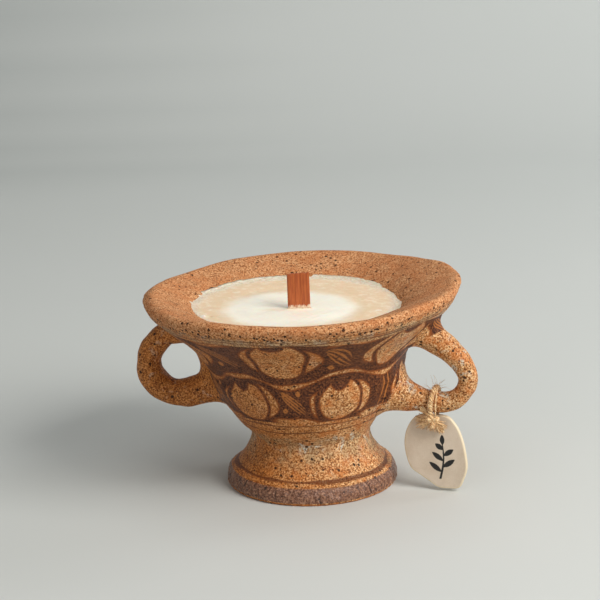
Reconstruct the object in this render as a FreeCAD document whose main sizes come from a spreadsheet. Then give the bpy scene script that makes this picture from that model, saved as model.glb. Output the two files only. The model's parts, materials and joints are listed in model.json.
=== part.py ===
import FreeCAD
import Part
import Sketcher
import math
import os

# A two-handled footed stoneware cup that holds a candle. The bowl leans slightly on a hollow
# pedestal foot, two loop handles join it, and a ceramic tag hangs on twine from the right handle.
#
# Frame: millimetres, +Z up, origin at the centre of the foot's underside, +X towards the right
# handle, -Y towards the front. The bowl and everything in it are drawn in the bowl's own frame,
# whose origin is the centre of the neck and whose +Z is the bowl's axis. The twine and the tag
# are drawn in a hanging frame, whose origin is the centre of the handle's bar, +X along the bar.

DIMENSIONS = {
    # pedestal foot
    "foot_radius": 48.3,
    "foot_band_top_radius": 45.5,
    "foot_band_height": 9.5,
    "foot_inner_radius": 40.5,
    "foot_edge_break": 1.4,
    "pedestal_hollow_height": 23,
    "pedestal_hollow_radius": 25,
    "pedestal_flare_radius": 22,
    "neck_radius": 33.5,
    "neck_height": 30,
    # bowl, measured from the neck along the bowl's axis
    "bowl_lean": 2.2,
    "belly_radius": 54.8,
    "belly_height": 36,
    "belly_curve": 110,
    "waist_radius": 55.8,
    "waist_height": 42,
    "flare_radius": 75.5,
    "flare_height": 65,
    "flare_curve": 60,
    "lip_radius": 88.3,
    "lip_underside_height": 79,
    "lip_underside_curve": 62,
    "lip_crest_radius": 81,
    "lip_crest_height": 82.4,
    "lip_round": 4.9,
    "slope_foot_radius": 50,
    "slope_foot_height": 66,
    "slope_curve": 100,
    "cavity_radius": 46.4,
    "cavity_shoulder_height": 52,
    "cavity_wall_foot_height": 34,
    "cavity_corner_curve": 26,
    "cavity_floor_radius": 27,
    "cavity_floor_height": 12,
    # candle
    "wax_level": 102.2,
    "wick_width": 12.7,
    "wick_thickness": 1.0,
    "wick_x": -1.9,
    "wick_y": -9.6,
    "wick_top_height": 92.4,
    "wick_top_slant": 0.9,
    "sticker_radius": 10,
    "sticker_thickness": 0.5,
    "clip_base_radius": 9.5,
    "clip_sheet": 0.5,
    "clip_wall_height": 12,
    # left handle, a ring in its own vertical plane
    "left_turn": 170,
    "left_ring_x": 74.3,
    "left_ring_z": 67,
    "left_ring_radius": 18.5,
    "left_top_angle": 60,
    "left_bottom_angle": 110,
    "left_top_run": 17,
    "left_bottom_run": 26,
    "left_tube_radius": 7.2,
    "left_rim_root_radius": 8.8,
    "left_wall_root_radius": 11,
    # right handle, with a straight lower bar
    "right_turn": -18,
    "right_bar_height": 50.4,
    "right_wall_end": 42,
    "right_wall_rise": 4.2,
    "right_bar_start": 62,
    "right_bar_end": 78,
    "right_corner_radius": 13,
    "right_back_radius": 24,
    "right_back_angle": 53,
    "right_top_run": 19,
    "right_bar_radius": 6.2,
    "right_side_radius": 5.4,
    "right_shoulder_radius": 6.7,
    "right_rim_root_radius": 8.4,
    "right_wall_root_radius": 10.4,
    # twine and tag, in the hanging frame
    "hang_reach": 72,
    "hang_tilt": 5,
    "twine_radius": 1.3,
    "twine_clearance": 0.4,
    "twine_leg_angle": 35,
    "twine_leg_end": 6.9,
    "twine_split_gap": 0.8,
    "twine_leg_drift": 0.7,
    "strand_bend": 1.4,
    "strand_front_reach": 3.6,
    "knot_offset": 4.3,
    "knot_level": 10.6,
    "knot_width": 3.4,
    "knot_end_radius": 1.85,
    "knot_bulge_radius": 9.9,
    "tail_length": 7.5,
    "tail_tip_radius": 2.3,
    "tail_left_angle": 248,
    "tail_right_angle": 142,
    "tag_hole_level": 11.7,
    "tag_hole_radius": 2.3,
    "tag_thickness": 3,
    "tag_top_half_width": 8.5,
    "tag_top_height": 4.1,
    "tag_top_curve": 90,
    "tag_right": 18.6,
    "tag_right_level": 22,
    "tag_side_curve": 43,
    "tag_left": 13.2,
    "tag_left_level": 26.8,
    "tag_left_curve": 24.4,
    "tag_bottom": 37.2,
    "tag_bottom_start": 2.5,
    "tag_bottom_end": 11.5,
    "tag_corner": 16,
    "tag_corner_level": 33.5,
    "tag_corner_curve": 5,
    "tag_edge_round": 0.6,
}

SUBPARTS = [
    "bowl", "pedestal_foot", "left_handle", "right_handle", "candle_wax", "wick", "wick_clip",
    "wick_sticker", "twine_loop", "twine_knot", "tag",
]

BOWL_FRAME = "placement(vector(0; 0; dims.neck_height); rotation(vector(0; 1; 0); -dims.bowl_lean))"
ABOVE_EVERYTHING = 200

doc = FreeCAD.newDocument("stoneware_candle_cup")


def make_sheet():
    """Spreadsheet of driving dimensions, one alias per row."""
    sheet = doc.addObject("Spreadsheet::Sheet", "dims")
    for row, (alias, size) in enumerate(DIMENSIONS.items(), start=1):
        sheet.set(f"A{row}", alias)
        sheet.set(f"B{row}", str(size))
        sheet.setAlias(f"B{row}", alias)
    doc.recompute()
    return sheet


dims = make_sheet()


def size_of(expression):
    """Number that a sheet expression gives now; a bare number is allowed too."""
    return float(dims.evalExpression(str(expression)))


# ---------------------------------------------------------------- sketches

def origin_plane(body, role):
    for plane in body.Origin.OriginFeatures:
        if plane.Role == role:
            return plane
    raise ValueError(role)


def new_sketch(body, name, role="XZ_Plane"):
    sketch = body.newObject("Sketcher::SketchObject", name)
    sketch.AttachmentSupport = [(origin_plane(body, role), "")]
    sketch.MapMode = "FlatFace"
    return sketch


def bind_constraint(sketch, constraint, expression):
    index = sketch.addConstraint(constraint)
    sketch.setExpression(f"Constraints[{index}]", str(expression))


def pin_point(sketch, edge, end, corner):
    """Tie one end of an edge to the sheet's x and y, or to an axis where the value is zero."""
    for kind, axis, expression in (("DistanceX", -2, corner[0]), ("DistanceY", -1, corner[1])):
        value = size_of(expression)
        if abs(value) < 1e-9:
            sketch.addConstraint(Sketcher.Constraint("PointOnObject", edge, end, axis))
        else:
            constraint = Sketcher.Constraint(kind, -1, 1, edge, end, value)
            bind_constraint(sketch, constraint, expression)


def add_edge(sketch, here, there, bend):
    """A line, or an arc of radius |bend| that turns left (bend > 0) or right (bend < 0)."""
    if bend is None:
        edge = sketch.addGeometry(Part.LineSegment(here, there))
        return edge, 1, 2
    radius = abs(size_of(bend))
    chord = there - here
    rise = math.sqrt(max(radius ** 2 - (chord.Length / 2) ** 2, 0))
    side = math.copysign(1, size_of(bend))
    leftwards = FreeCAD.Vector(-chord.y, chord.x, 0).normalize()
    centre = (here + there) / 2 + leftwards * rise * side
    circle = Part.Circle(centre, FreeCAD.Vector(0, 0, 1), radius)
    first, last = (here, there) if side > 0 else (there, here)
    angles = [math.atan2(point.y - centre.y, point.x - centre.x) for point in (first, last)]
    edge = sketch.addGeometry(Part.ArcOfCircle(circle, angles[0], angles[1]))
    bind_constraint(sketch, Sketcher.Constraint("Radius", edge, radius), f"abs({bend})")
    return (edge, 1, 2) if side > 0 else (edge, 2, 1)


def trace(sketch, corners, closed=True):
    """Draw the outline through corners (x, y) or (x, y, bend of the edge that leaves it)."""
    points = [FreeCAD.Vector(size_of(c[0]), size_of(c[1]), 0) for c in corners]
    count = len(corners) if closed else len(corners) - 1
    edges = []
    for i in range(count):
        bend = corners[i][2] if len(corners[i]) > 2 else None
        edges.append(add_edge(sketch, points[i], points[(i + 1) % len(points)], bend))
    for i, (edge, start, end) in enumerate(edges):
        pin_point(sketch, edge, start, corners[i])
        if i + 1 < len(edges) or closed:
            following, follow_start, _ = edges[(i + 1) % len(edges)]
            sketch.addConstraint(Sketcher.Constraint("Coincident", edge, end, following, follow_start))
        else:
            pin_point(sketch, edge, end, corners[i + 1])


def add_circle(sketch, x, y, radius):
    centre = FreeCAD.Vector(size_of(x), size_of(y), 0)
    circle = Part.Circle(centre, FreeCAD.Vector(0, 0, 1), size_of(radius))
    edge = sketch.addGeometry(circle)
    pin_point(sketch, edge, 3, (x, y))
    bind_constraint(sketch, Sketcher.Constraint("Radius", edge, size_of(radius)), radius)


# ---------------------------------------------------------------- features

def new_body(name, frame=None):
    body = doc.addObject("PartDesign::Body", name)
    body.Label = name
    if frame:
        body.setExpression("Placement", frame)
    return body


def revolve(name, corners, frame=None):
    """Body turned about its own Z axis from a half section."""
    body = new_body(name, frame)
    sketch = new_sketch(body, name + "_section")
    trace(sketch, corners)
    turned = body.newObject("PartDesign::Revolution", name + "_turned")
    turned.Profile = sketch
    turned.ReferenceAxis = (sketch, ["V_Axis"])
    turned.Angle = 360
    sketch.Visibility = False
    return body


def pad(body, sketch, length, midplane=False):
    padded = body.newObject("PartDesign::Pad", sketch.Name + "_pad")
    padded.Profile = sketch
    padded.setExpression("Length", length)
    padded.Midplane = midplane
    return padded


def station(body, name, x, z, lean, radius):
    """Round section in the XZ plane's path, facing along a direction lean degrees from +Z to +X."""
    sketch = new_sketch(body, name, "XY_Plane")
    offset = f"placement(vector({x}; 0; {z}); rotation(vector(0; 1; 0); {lean}))"
    sketch.setExpression("AttachmentOffset", offset)
    add_circle(sketch, 0, 0, radius)
    return sketch


def sweep(body, path, edge_count, stations):
    """Pipe along a path, its round section changing from station to station."""
    pipe = body.newObject("PartDesign::AdditivePipe", body.Name + "_pipe")
    pipe.Profile = stations[0]
    pipe.Spine = (path, [f"Edge{i + 1}" for i in range(edge_count)])
    if len(stations) > 1:
        pipe.Sections = [(sketch, [""]) for sketch in stations[1:]]
        pipe.Transformation = "Multisection"
    return pipe


def boolean(kind, name, base, tool):
    """Part::Cut or Part::Common of two objects."""
    result = doc.addObject(kind, name)
    result.Label = name
    result.Base = base
    result.Tool = tool
    return result


def fuse(name, shapes):
    result = doc.addObject("Part::MultiFuse", name)
    result.Label = name
    result.Shapes = shapes
    return result


def huge_box(name, frame):
    """Box far larger than the cup, standing on the XY plane of a frame, centred on its axis."""
    box = doc.addObject("Part::Box", name)
    box.Length = 2 * ABOVE_EVERYTHING
    box.Width = 2 * ABOVE_EVERYTHING
    box.Height = ABOVE_EVERYTHING
    corner = f"placement(vector({-ABOVE_EVERYTHING}; {-ABOVE_EVERYTHING}; 0); rotation(vector(0; 0; 1); 0))"
    box.setExpression("Placement", f"{frame} * {corner}")
    return box


# ---------------------------------------------------------------- vessel

OUTSIDE = [
    ("dims.neck_radius", 0, "dims.belly_curve"),
    ("dims.belly_radius", "dims.belly_height"),
    ("dims.waist_radius", "dims.waist_height", "-dims.flare_curve"),
    ("dims.flare_radius", "dims.flare_height", "dims.lip_underside_curve"),
    ("dims.lip_radius", "dims.lip_underside_height", "dims.lip_round"),
    ("dims.lip_crest_radius", "dims.lip_crest_height"),
]

INSIDE = [
    (0, "dims.cavity_floor_height"),
    ("dims.cavity_floor_radius", "dims.cavity_floor_height", "dims.cavity_corner_curve"),
    ("dims.cavity_radius", "dims.cavity_wall_foot_height"),
    ("dims.cavity_radius", "dims.cavity_shoulder_height"),
    ("dims.slope_foot_radius", "dims.slope_foot_height", "-dims.slope_curve"),
    ("dims.lip_crest_radius", "dims.lip_crest_height"),
]


def reversed_outline(corners):
    """The same outline walked backwards, with each bend moved to the edge it belongs to."""
    backwards = []
    for i in range(len(corners) - 1, -1, -1):
        bend = corners[i - 1][2] if i > 0 and len(corners[i - 1]) > 2 else None
        turned = f"-({bend})" if bend else None
        backwards.append((corners[i][0], corners[i][1], turned))
    return backwards


def make_bowl():
    wall = [(0, 0)] + OUTSIDE[:-1] + reversed_outline(INSIDE)
    return revolve("bowl", wall, BOWL_FRAME)


def make_bowl_blank():
    """The bowl before it is hollowed, which trims the handles' roots to the wall."""
    return revolve("bowl_blank", [(0, 0)] + OUTSIDE + [(0, "dims.lip_crest_height")], BOWL_FRAME)


def make_pedestal():
    """Turned foot, cut off at the neck by the plane of the leaning bowl's underside."""
    section = [
        ("dims.foot_inner_radius", 0),
        ("dims.foot_radius - dims.foot_edge_break", 0),
        ("dims.foot_radius", "dims.foot_edge_break"),
        ("dims.foot_radius - dims.foot_edge_break / 3", "dims.foot_band_height / 2"),
        ("dims.foot_band_top_radius", "dims.foot_band_height", "-dims.pedestal_flare_radius"),
        ("dims.neck_radius", "dims.neck_height - 4"),
        ("dims.neck_radius", "dims.neck_height + 3"),
        (0, "dims.neck_height + 3"),
        (0, "dims.pedestal_hollow_height"),
        ("dims.pedestal_hollow_radius", "dims.pedestal_hollow_height"),
    ]
    turned = revolve("pedestal_turned", section)
    return boolean("Part::Cut", "pedestal_foot", turned, huge_box("above_neck", BOWL_FRAME))


def make_left_handle(bowl_blank):
    """Ring handle: a straight run into the rim, most of a circle, a straight run into the wall."""
    turn = "placement(vector(0; 0; 0); rotation(vector(0; 0; 1); dims.left_turn))"
    body = new_body("left_handle_pipe", turn)
    top, bottom = "dims.left_top_angle", "dims.left_bottom_angle"
    ring = "dims.left_ring_radius"
    top_x = f"dims.left_ring_x + {ring} * cos({top})"
    top_z = f"dims.left_ring_z + {ring} * sin({top})"
    low_x = f"dims.left_ring_x + {ring} * cos({bottom})"
    low_z = f"dims.left_ring_z - {ring} * sin({bottom})"
    side = (f"dims.left_ring_x + {ring}", "dims.left_ring_z")
    start = (f"{top_x} - dims.left_top_run * sin({top})", f"{top_z} + dims.left_top_run * cos({top})")
    end = (f"{low_x} - dims.left_bottom_run * sin({bottom})",
           f"{low_z} - dims.left_bottom_run * cos({bottom})")
    path = new_sketch(body, "left_handle_path")
    corners = [start, (top_x, top_z, f"-{ring}"), (side[0], side[1], f"-{ring}"), (low_x, low_z), end]
    trace(path, corners, closed=False)
    tube = "dims.left_tube_radius"
    stations = [
        station(body, "left_top", start[0], start[1], f"180 - {top}", "dims.left_rim_root_radius"),
        station(body, "left_shoulder", top_x, top_z, f"180 - {top}", tube),
        station(body, "left_side", side[0], side[1], 180, tube),
        station(body, "left_low", low_x, low_z, f"180 + {bottom}", tube),
        station(body, "left_end", end[0], end[1], f"180 + {bottom}", "dims.left_wall_root_radius"),
    ]
    sweep(body, path, len(corners) - 1, stations)
    return boolean("Part::Cut", "left_handle", body, bowl_blank)


def make_right_handle(bowl_blank):
    """Loop handle: a run into the rim, a wide back curve, a tight corner, a straight bar
    and a rising curve into the wall."""
    turn = "placement(vector(0; 0; 0); rotation(vector(0; 0; 1); dims.right_turn))"
    body = new_body("right_handle_pipe", turn)
    corner, back, angle = "dims.right_corner_radius", "dims.right_back_radius", "dims.right_back_angle"
    side_x = f"dims.right_bar_end + {corner}"
    side_z = f"dims.right_bar_height + {corner}"
    top_x = f"{side_x} - {back} + {back} * cos({angle})"
    top_z = f"{side_z} + {back} * sin({angle})"
    start = (f"{top_x} - dims.right_top_run * sin({angle})",
             f"{top_z} + dims.right_top_run * cos({angle})")
    height, bar = "dims.right_bar_height", "dims.right_bar_radius"
    run, rise = "(dims.right_bar_start - dims.right_wall_end)", "dims.right_wall_rise"
    root_curve = f"({run} * {run} + {rise} * {rise}) / (2 * {rise})"
    root_lean = f"270 deg + asin({run} / ({root_curve}))"
    path = new_sketch(body, "right_handle_path")
    corners = [
        start,
        (top_x, top_z, f"-{back}"),
        (side_x, side_z, f"-{corner}"),
        ("dims.right_bar_end", height),
        ("dims.right_bar_start", height, f"-({root_curve})"),
        ("dims.right_wall_end", f"{height} + {rise}"),
    ]
    trace(path, corners, closed=False)
    stations = [
        station(body, "right_top", start[0], start[1], f"180 - {angle}", "dims.right_rim_root_radius"),
        station(body, "right_shoulder", top_x, top_z, f"180 - {angle}", "dims.right_shoulder_radius"),
        station(body, "right_side", side_x, side_z, 180, "dims.right_side_radius"),
        station(body, "right_corner", "dims.right_bar_end", height, 270, bar),
        station(body, "right_bar", "dims.right_bar_start", height, 270, bar),
        station(body, "right_end", "dims.right_wall_end", f"{height} + {rise}", root_lean,
                "dims.right_wall_root_radius"),
    ]
    sweep(body, path, len(corners) - 1, stations)
    return boolean("Part::Cut", "right_handle", body, bowl_blank)


# ---------------------------------------------------------------- candle

WICK_FRAME = f"{BOWL_FRAME} * placement(vector(dims.wick_x; dims.wick_y; 0); rotation(vector(0; 0; 1); 0))"
STICKER_TOP = "(dims.cavity_floor_height + dims.sticker_thickness)"
CLIP_FLOOR_TOP = f"({STICKER_TOP} + dims.clip_sheet)"


def make_wick():
    """Flat wooden strip standing on the clip's floor, its top edge cut at a slant."""
    body = new_body("wick", WICK_FRAME)
    sketch = new_sketch(body, "wick_outline")
    half = "dims.wick_width / 2"
    trace(sketch, [
        (f"-{half}", CLIP_FLOOR_TOP),
        (half, CLIP_FLOOR_TOP),
        (half, "dims.wick_top_height + dims.wick_top_slant / 2"),
        (f"-{half}", "dims.wick_top_height - dims.wick_top_slant / 2"),
    ])
    pad(body, sketch, "dims.wick_thickness", midplane=True)
    return body


def disc(body, name, height_above, radius, thickness):
    sketch = new_sketch(body, name, "XY_Plane")
    sketch.setExpression("AttachmentOffset.Base.z", height_above)
    add_circle(sketch, 0, 0, radius)
    return pad(body, sketch, thickness)


def make_wick_clip():
    """Tin disc with two upright leaves that hold the wick between them."""
    body = new_body("wick_clip", WICK_FRAME)
    disc(body, "clip_floor", STICKER_TOP, "dims.clip_base_radius", "dims.clip_sheet")
    leaves = new_sketch(body, "clip_leaves", "XY_Plane")
    leaves.setExpression("AttachmentOffset.Base.z", CLIP_FLOOR_TOP)
    half = "dims.wick_width / 2"
    for side in ("", "-"):
        near = f"{side}dims.wick_thickness / 2"
        far = f"{side}(dims.wick_thickness / 2 + dims.clip_sheet)"
        trace(leaves, [(f"-{half}", near), (half, near), (half, far), (f"-{half}", far)])
    pad(body, leaves, "dims.clip_wall_height")
    return body


def make_wick_sticker():
    body = new_body("wick_sticker", WICK_FRAME)
    disc(body, "sticker_disc", "dims.cavity_floor_height", "dims.sticker_radius", "dims.sticker_thickness")
    return body


def make_wax(buried):
    """Wax filling the bowl's cavity up to a level surface, around the wick, clip and sticker."""
    cavity = revolve("cavity", INSIDE + [(0, "dims.lip_crest_height")], BOWL_FRAME)
    above = huge_box("above_wax", "placement(vector(0; 0; dims.wax_level); rotation(vector(0; 0; 1); 0))")
    poured = boolean("Part::Cut", "poured_wax", cavity, above)
    return boolean("Part::Cut", "candle_wax", poured, fuse("buried_in_wax", buried))


# ---------------------------------------------------------------- twine and tag

HANG_FRAME = (
    "placement(vector(dims.hang_reach * cos(dims.right_turn); dims.hang_reach * sin(dims.right_turn);"
    " dims.right_bar_height); rotation(vector(0; 0; 1); dims.right_turn))"
    " * placement(vector(0; 0; 0); rotation(vector(1; 0; 0); -dims.hang_tilt))"
)
LOOP_RADIUS = "(dims.right_bar_radius + dims.twine_clearance + dims.twine_radius)"
LEG_TOP_Y = f"{LOOP_RADIUS} * cos(dims.twine_leg_angle)"
LEG_TOP_Z = f"-{LOOP_RADIUS} * sin(dims.twine_leg_angle)"
SPLIT_LEVEL = "(dims.twine_leg_end + dims.twine_split_gap)"


def leg_offset(level):
    """How far a leg of the twine stands from the hanging plane at a level below the bar's axis."""
    return f"({LEG_TOP_Y} - ({level} + {LEG_TOP_Z}) * tan(dims.twine_leg_angle))"


def twine_pipe(name, corners, lean):
    """Round cord along a path in the hanging frame's YZ plane; lean is its first direction."""
    body = new_body(name, HANG_FRAME)
    path = new_sketch(body, name + "_path", "YZ_Plane")
    trace(path, corners, closed=False)
    section = new_sketch(body, name + "_section", "XY_Plane")
    start_y, start_z = corners[0][0], corners[0][1]
    offset = f"placement(vector(0; {start_y}; {start_z}); rotation(vector(1; 0; 0); {lean}))"
    section.setExpression("AttachmentOffset", offset)
    add_circle(section, 0, 0, "dims.twine_radius")
    sweep(body, path, len(corners) - 1, [section])
    return body


def make_twine_loop():
    """Cord over the bar, from the split behind the tag's plane round to the split in front."""
    end = leg_offset("dims.twine_leg_end")
    corners = [
        (end, "-dims.twine_leg_end"),
        (LEG_TOP_Y, LEG_TOP_Z, LOOP_RADIUS),
        (0, LOOP_RADIUS, LOOP_RADIUS),
        (f"-{LEG_TOP_Y}", LEG_TOP_Z),
        (f"-{end}", "-dims.twine_leg_end"),
    ]
    return twine_pipe("twine_loop", corners, "-dims.twine_leg_angle")


def make_tail(name, angle):
    """Frayed end of the cord, spreading from the knot in the tag's plane."""
    tail = doc.addObject("Part::Cone", name)
    tail.setExpression("Radius1", "dims.twine_radius")
    tail.setExpression("Radius2", "dims.tail_tip_radius")
    tail.setExpression("Height", "dims.tail_length")
    place = (f"{HANG_FRAME} * placement(vector(0; -dims.knot_offset; -dims.knot_level);"
             f" rotation(vector(0; 1; 0); {angle}))")
    tail.setExpression("Placement", place)
    return tail


def make_twine_knot():
    """Cord through the tag's hole with its knot on the front and the two frayed ends."""
    split = leg_offset(SPLIT_LEVEL)
    back = f"(dims.tag_thickness / 2 + dims.strand_bend)"
    turn_level = "(dims.tag_hole_level - dims.strand_bend)"
    strand = twine_pipe("strand_through_tag", [
        (split, f"-{SPLIT_LEVEL}"),
        (back, f"-{turn_level}", "-dims.strand_bend"),
        ("dims.tag_thickness / 2", "-dims.tag_hole_level"),
        ("-dims.strand_front_reach", "-dims.tag_hole_level"),
    ], f"180 deg - atan(({split} - {back}) / ({turn_level} - {SPLIT_LEVEL}))")
    front = twine_pipe("strand_in_front", [
        (f"-{split}", f"-{SPLIT_LEVEL}"),
        (f"-{split} + dims.twine_leg_drift", "-dims.knot_level"),
    ], f"180 deg + atan(dims.twine_leg_drift / (dims.knot_level - {SPLIT_LEVEL}))")
    knot = revolve("knot", [
        (0, "-dims.knot_width"),
        ("dims.knot_end_radius", "-dims.knot_width", "dims.knot_bulge_radius"),
        ("dims.knot_end_radius", "dims.knot_width"),
        (0, "dims.knot_width"),
    ], f"{HANG_FRAME} * placement(vector(0; -dims.knot_offset; -dims.knot_level);"
       " rotation(vector(0; 1; 0); 90))")
    tails = [make_tail("left_tail", "dims.tail_left_angle"),
             make_tail("right_tail", "dims.tail_right_angle")]
    return fuse("twine_knot", [strand, front, knot] + tails)


def make_tag():
    """Flat ceramic tag; its frame's origin is the centre of the hole."""
    frame = f"{HANG_FRAME} * placement(vector(0; 0; -dims.tag_hole_level); rotation(vector(0; 0; 1); 0))"
    body = new_body("tag", frame)
    sketch = new_sketch(body, "tag_outline")
    trace(sketch, [
        ("-dims.tag_top_half_width", "dims.tag_top_height", "dims.tag_left_curve"),
        ("-dims.tag_left", "-dims.tag_left_level"),
        ("dims.tag_bottom_start", "-dims.tag_bottom"),
        ("dims.tag_bottom_end", "-dims.tag_bottom", "dims.tag_corner_curve"),
        ("dims.tag_corner", "-dims.tag_corner_level"),
        ("dims.tag_right", "-dims.tag_right_level", "dims.tag_side_curve"),
        ("dims.tag_top_half_width", "dims.tag_top_height", "dims.tag_top_curve"),
    ])
    add_circle(sketch, 0, 0, "dims.tag_hole_radius")
    plate = pad(body, sketch, "dims.tag_thickness", midplane=True)
    doc.recompute()
    rounded = body.newObject("PartDesign::Fillet", "tag_rounded")
    rounded.Base = (plate, [""])
    rounded.UseAllEdges = True
    rounded.setExpression("Radius", "dims.tag_edge_round")
    return body


# ---------------------------------------------------------------- build, check and write

def build_model():
    blank = make_bowl_blank()
    make_bowl()
    make_pedestal()
    make_left_handle(blank)
    make_right_handle(blank)
    make_wax([make_wick(), make_wick_clip(), make_wick_sticker()])
    make_twine_loop()
    make_twine_knot()
    make_tag()
    doc.recompute()


def check_model():
    """Stop on any failed object and on any sub-part that isn't one valid solid."""
    for thing in doc.Objects:
        if "Invalid" in thing.State or "Error" in thing.State:
            raise RuntimeError(f"{thing.Name} failed: {thing.State}")
    for name in SUBPARTS:
        shape = doc.getObjectsByLabel(name)[0].Shape
        if shape.isNull() or not shape.isValid() or len(shape.Solids) != 1:
            raise RuntimeError(f"{name} is not one valid solid: {len(shape.Solids)}")
        print(f"{name}: {shape.Volume / 1000:.2f} cm3")


def write_parts():
    os.makedirs("parts", exist_ok=True)
    for name in SUBPARTS:
        doc.getObjectsByLabel(name)[0].Shape.exportStep(f"parts/{name}.step")


build_model()
check_model()
write_parts()
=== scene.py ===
import json
import math

import bmesh
import bpy
import numpy as np
from mathutils import Matrix, Vector


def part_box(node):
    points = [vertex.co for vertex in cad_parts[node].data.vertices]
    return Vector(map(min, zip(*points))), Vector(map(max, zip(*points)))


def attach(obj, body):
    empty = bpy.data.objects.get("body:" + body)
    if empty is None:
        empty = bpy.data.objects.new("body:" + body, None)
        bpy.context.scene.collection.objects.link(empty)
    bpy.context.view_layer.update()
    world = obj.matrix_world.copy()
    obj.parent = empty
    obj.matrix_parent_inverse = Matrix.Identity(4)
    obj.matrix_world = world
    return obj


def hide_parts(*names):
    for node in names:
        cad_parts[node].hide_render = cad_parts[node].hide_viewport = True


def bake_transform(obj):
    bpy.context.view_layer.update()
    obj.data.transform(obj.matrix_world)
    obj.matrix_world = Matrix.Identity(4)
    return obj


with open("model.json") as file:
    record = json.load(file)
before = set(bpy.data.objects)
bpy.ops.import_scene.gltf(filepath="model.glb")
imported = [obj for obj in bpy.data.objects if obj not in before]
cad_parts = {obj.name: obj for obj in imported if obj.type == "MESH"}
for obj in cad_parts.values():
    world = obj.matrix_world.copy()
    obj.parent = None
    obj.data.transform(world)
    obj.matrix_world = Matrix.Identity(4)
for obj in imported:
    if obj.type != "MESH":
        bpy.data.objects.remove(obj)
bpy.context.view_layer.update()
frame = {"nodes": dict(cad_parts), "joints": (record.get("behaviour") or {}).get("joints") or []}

# A hand-thrown stoneware cup with a poured candle and a ceramic tag on jute twine.
#
# Shapes are worked out in millimetres in the part's frame and written to meshes in metres.
# The bowl leans on its foot about the centre of the neck: "upright" points are those of the
# cup before it leans. "turn" is the angle round the cup in degrees, 0 at the front (-Y) and
# growing towards the right handle (+X).

MM = 0.001
JOINTS = {joint["name"]: joint for joint in frame["joints"]}


def in_mm(point):
    return np.array(point, float) / MM


BOX = {name: [in_mm(corner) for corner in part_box(name)] for name in frame["nodes"]}

# ---------------- frames taken from the CAD

NECK_RADIUS = 33.5
NECK_Z = (BOX["bowl"][0][2] + BOX["pedestal_foot"][1][2]) / 2
LEAN = math.asin((BOX["pedestal_foot"][1][2] - BOX["bowl"][0][2]) / 2 / NECK_RADIUS)
LEAN_STARTS, LEAN_FULL = NECK_Z - 9, NECK_Z + 9  # heights between which the lean comes in
WAX_Z = 102.2

HANG_POINT = in_mm(JOINTS["loop_swing"]["pos_m"])
BAR_WAY = -np.array(JOINTS["loop_swing"]["axis"])
HANG_UP = np.array(JOINTS["knot_twist"]["axis"])
TAG_BACK = np.array(JOINTS["tag_sway"]["axis"])
TAG_HOLE = in_mm(JOINTS["tag_sway"]["pos_m"])
RIGHT_TURN = math.degrees(math.atan2(BAR_WAY[0], -BAR_WAY[1]))
LEFT_TURN = -100.0


# ---------------- numbers and curves

WAVES = 10
CURVE_PARTS = 60


def smooth_step(value, low, high):
    t = np.clip((value - low) / (high - low), 0, 1)
    return t * t * (3 - 2 * t)


def unit(ways):
    """Rows scaled to unit length."""
    return ways / np.linalg.norm(ways, axis=-1, keepdims=True)


def lengths_along(path):
    """Length walked at each row of a path."""
    return np.concatenate([[0], np.cumsum(np.linalg.norm(np.diff(path, axis=0), axis=1))])


def ripple(points, wavelength, seed):
    """Smooth, even wobble of about unit size: a few plane waves with random directions."""
    rng = np.random.default_rng(seed)
    ways = unit(rng.normal(size=(WAVES, points.shape[-1])))
    ways *= rng.uniform(0.7, 1.4, WAVES)[:, None]
    phases = rng.uniform(0, 2 * math.pi, WAVES)
    waves = np.sin(points @ ways.T * (2 * math.pi / wavelength) + phases)
    return waves.sum(-1) * math.sqrt(2 / WAVES)


def smooth_curve(points, step, closed=False):
    """Rows evenly spaced along a smooth curve through the given rows (Catmull-Rom)."""
    p = np.array(points, float)
    if closed:
        p = np.vstack([p[-1], p, p[0], p[1]])
    else:
        p = np.vstack([2 * p[0] - p[1], p, 2 * p[-1] - p[-2]])
    t = np.linspace(0, 1, CURVE_PARTS, endpoint=False)[:, None]
    fine = []
    for a, b, c, d in zip(p[:-3], p[1:-2], p[2:-1], p[3:]):
        fine.append(0.5 * (2 * b + (c - a) * t + (2 * a - 5 * b + 4 * c - d) * t ** 2
                           + (3 * b - a - 3 * c + d) * t ** 3))
    fine = np.vstack(fine + [p[-2][None]])
    length = lengths_along(fine[:, :2])
    count = max(int(round(length[-1] / step)), 2)
    marks = np.linspace(0, length[-1], count + 1)
    if closed:
        marks = marks[:-1]
    return np.stack([np.interp(marks, length, fine[:, i]) for i in range(fine.shape[1])], 1)


def leaned(points):
    """From the upright cup to the leaning one: the lean comes in smoothly over the neck."""
    share = smooth_step(points[:, 2], LEAN_STARTS, LEAN_FULL)
    c, s = np.cos(LEAN * share), np.sin(LEAN * share)
    x, z = points[:, 0], points[:, 2] - NECK_Z
    return np.stack([x * c - z * s, points[:, 1], x * s + z * c + NECK_Z], 1)


def upright(points):
    """From the leaning bowl back to the upright one, for points above the neck."""
    c, s = math.cos(LEAN), math.sin(LEAN)
    x, z = points[:, 0], points[:, 2] - NECK_Z
    return np.stack([x * c + z * s, points[:, 1], -x * s + z * c + NECK_Z], 1)


def turn_of(points):
    return np.degrees(np.arctan2(points[:, 0], -points[:, 1]))


# ---------------- meshes

def make_object(name, points, faces):
    """Smooth mesh object from points in millimetres, with its normals facing out."""
    mesh = bpy.data.meshes.new(name)
    mesh.from_pydata((points * MM).tolist(), [], [tuple(face) for face in faces])
    work = bmesh.new()
    work.from_mesh(mesh)
    bmesh.ops.recalc_face_normals(work, faces=work.faces[:])
    work.to_mesh(mesh)
    work.free()
    mesh.polygons.foreach_set("use_smooth", [True] * len(mesh.polygons))
    thing = bpy.data.objects.new(name, mesh)
    bpy.context.scene.collection.objects.link(thing)
    return thing


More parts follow.
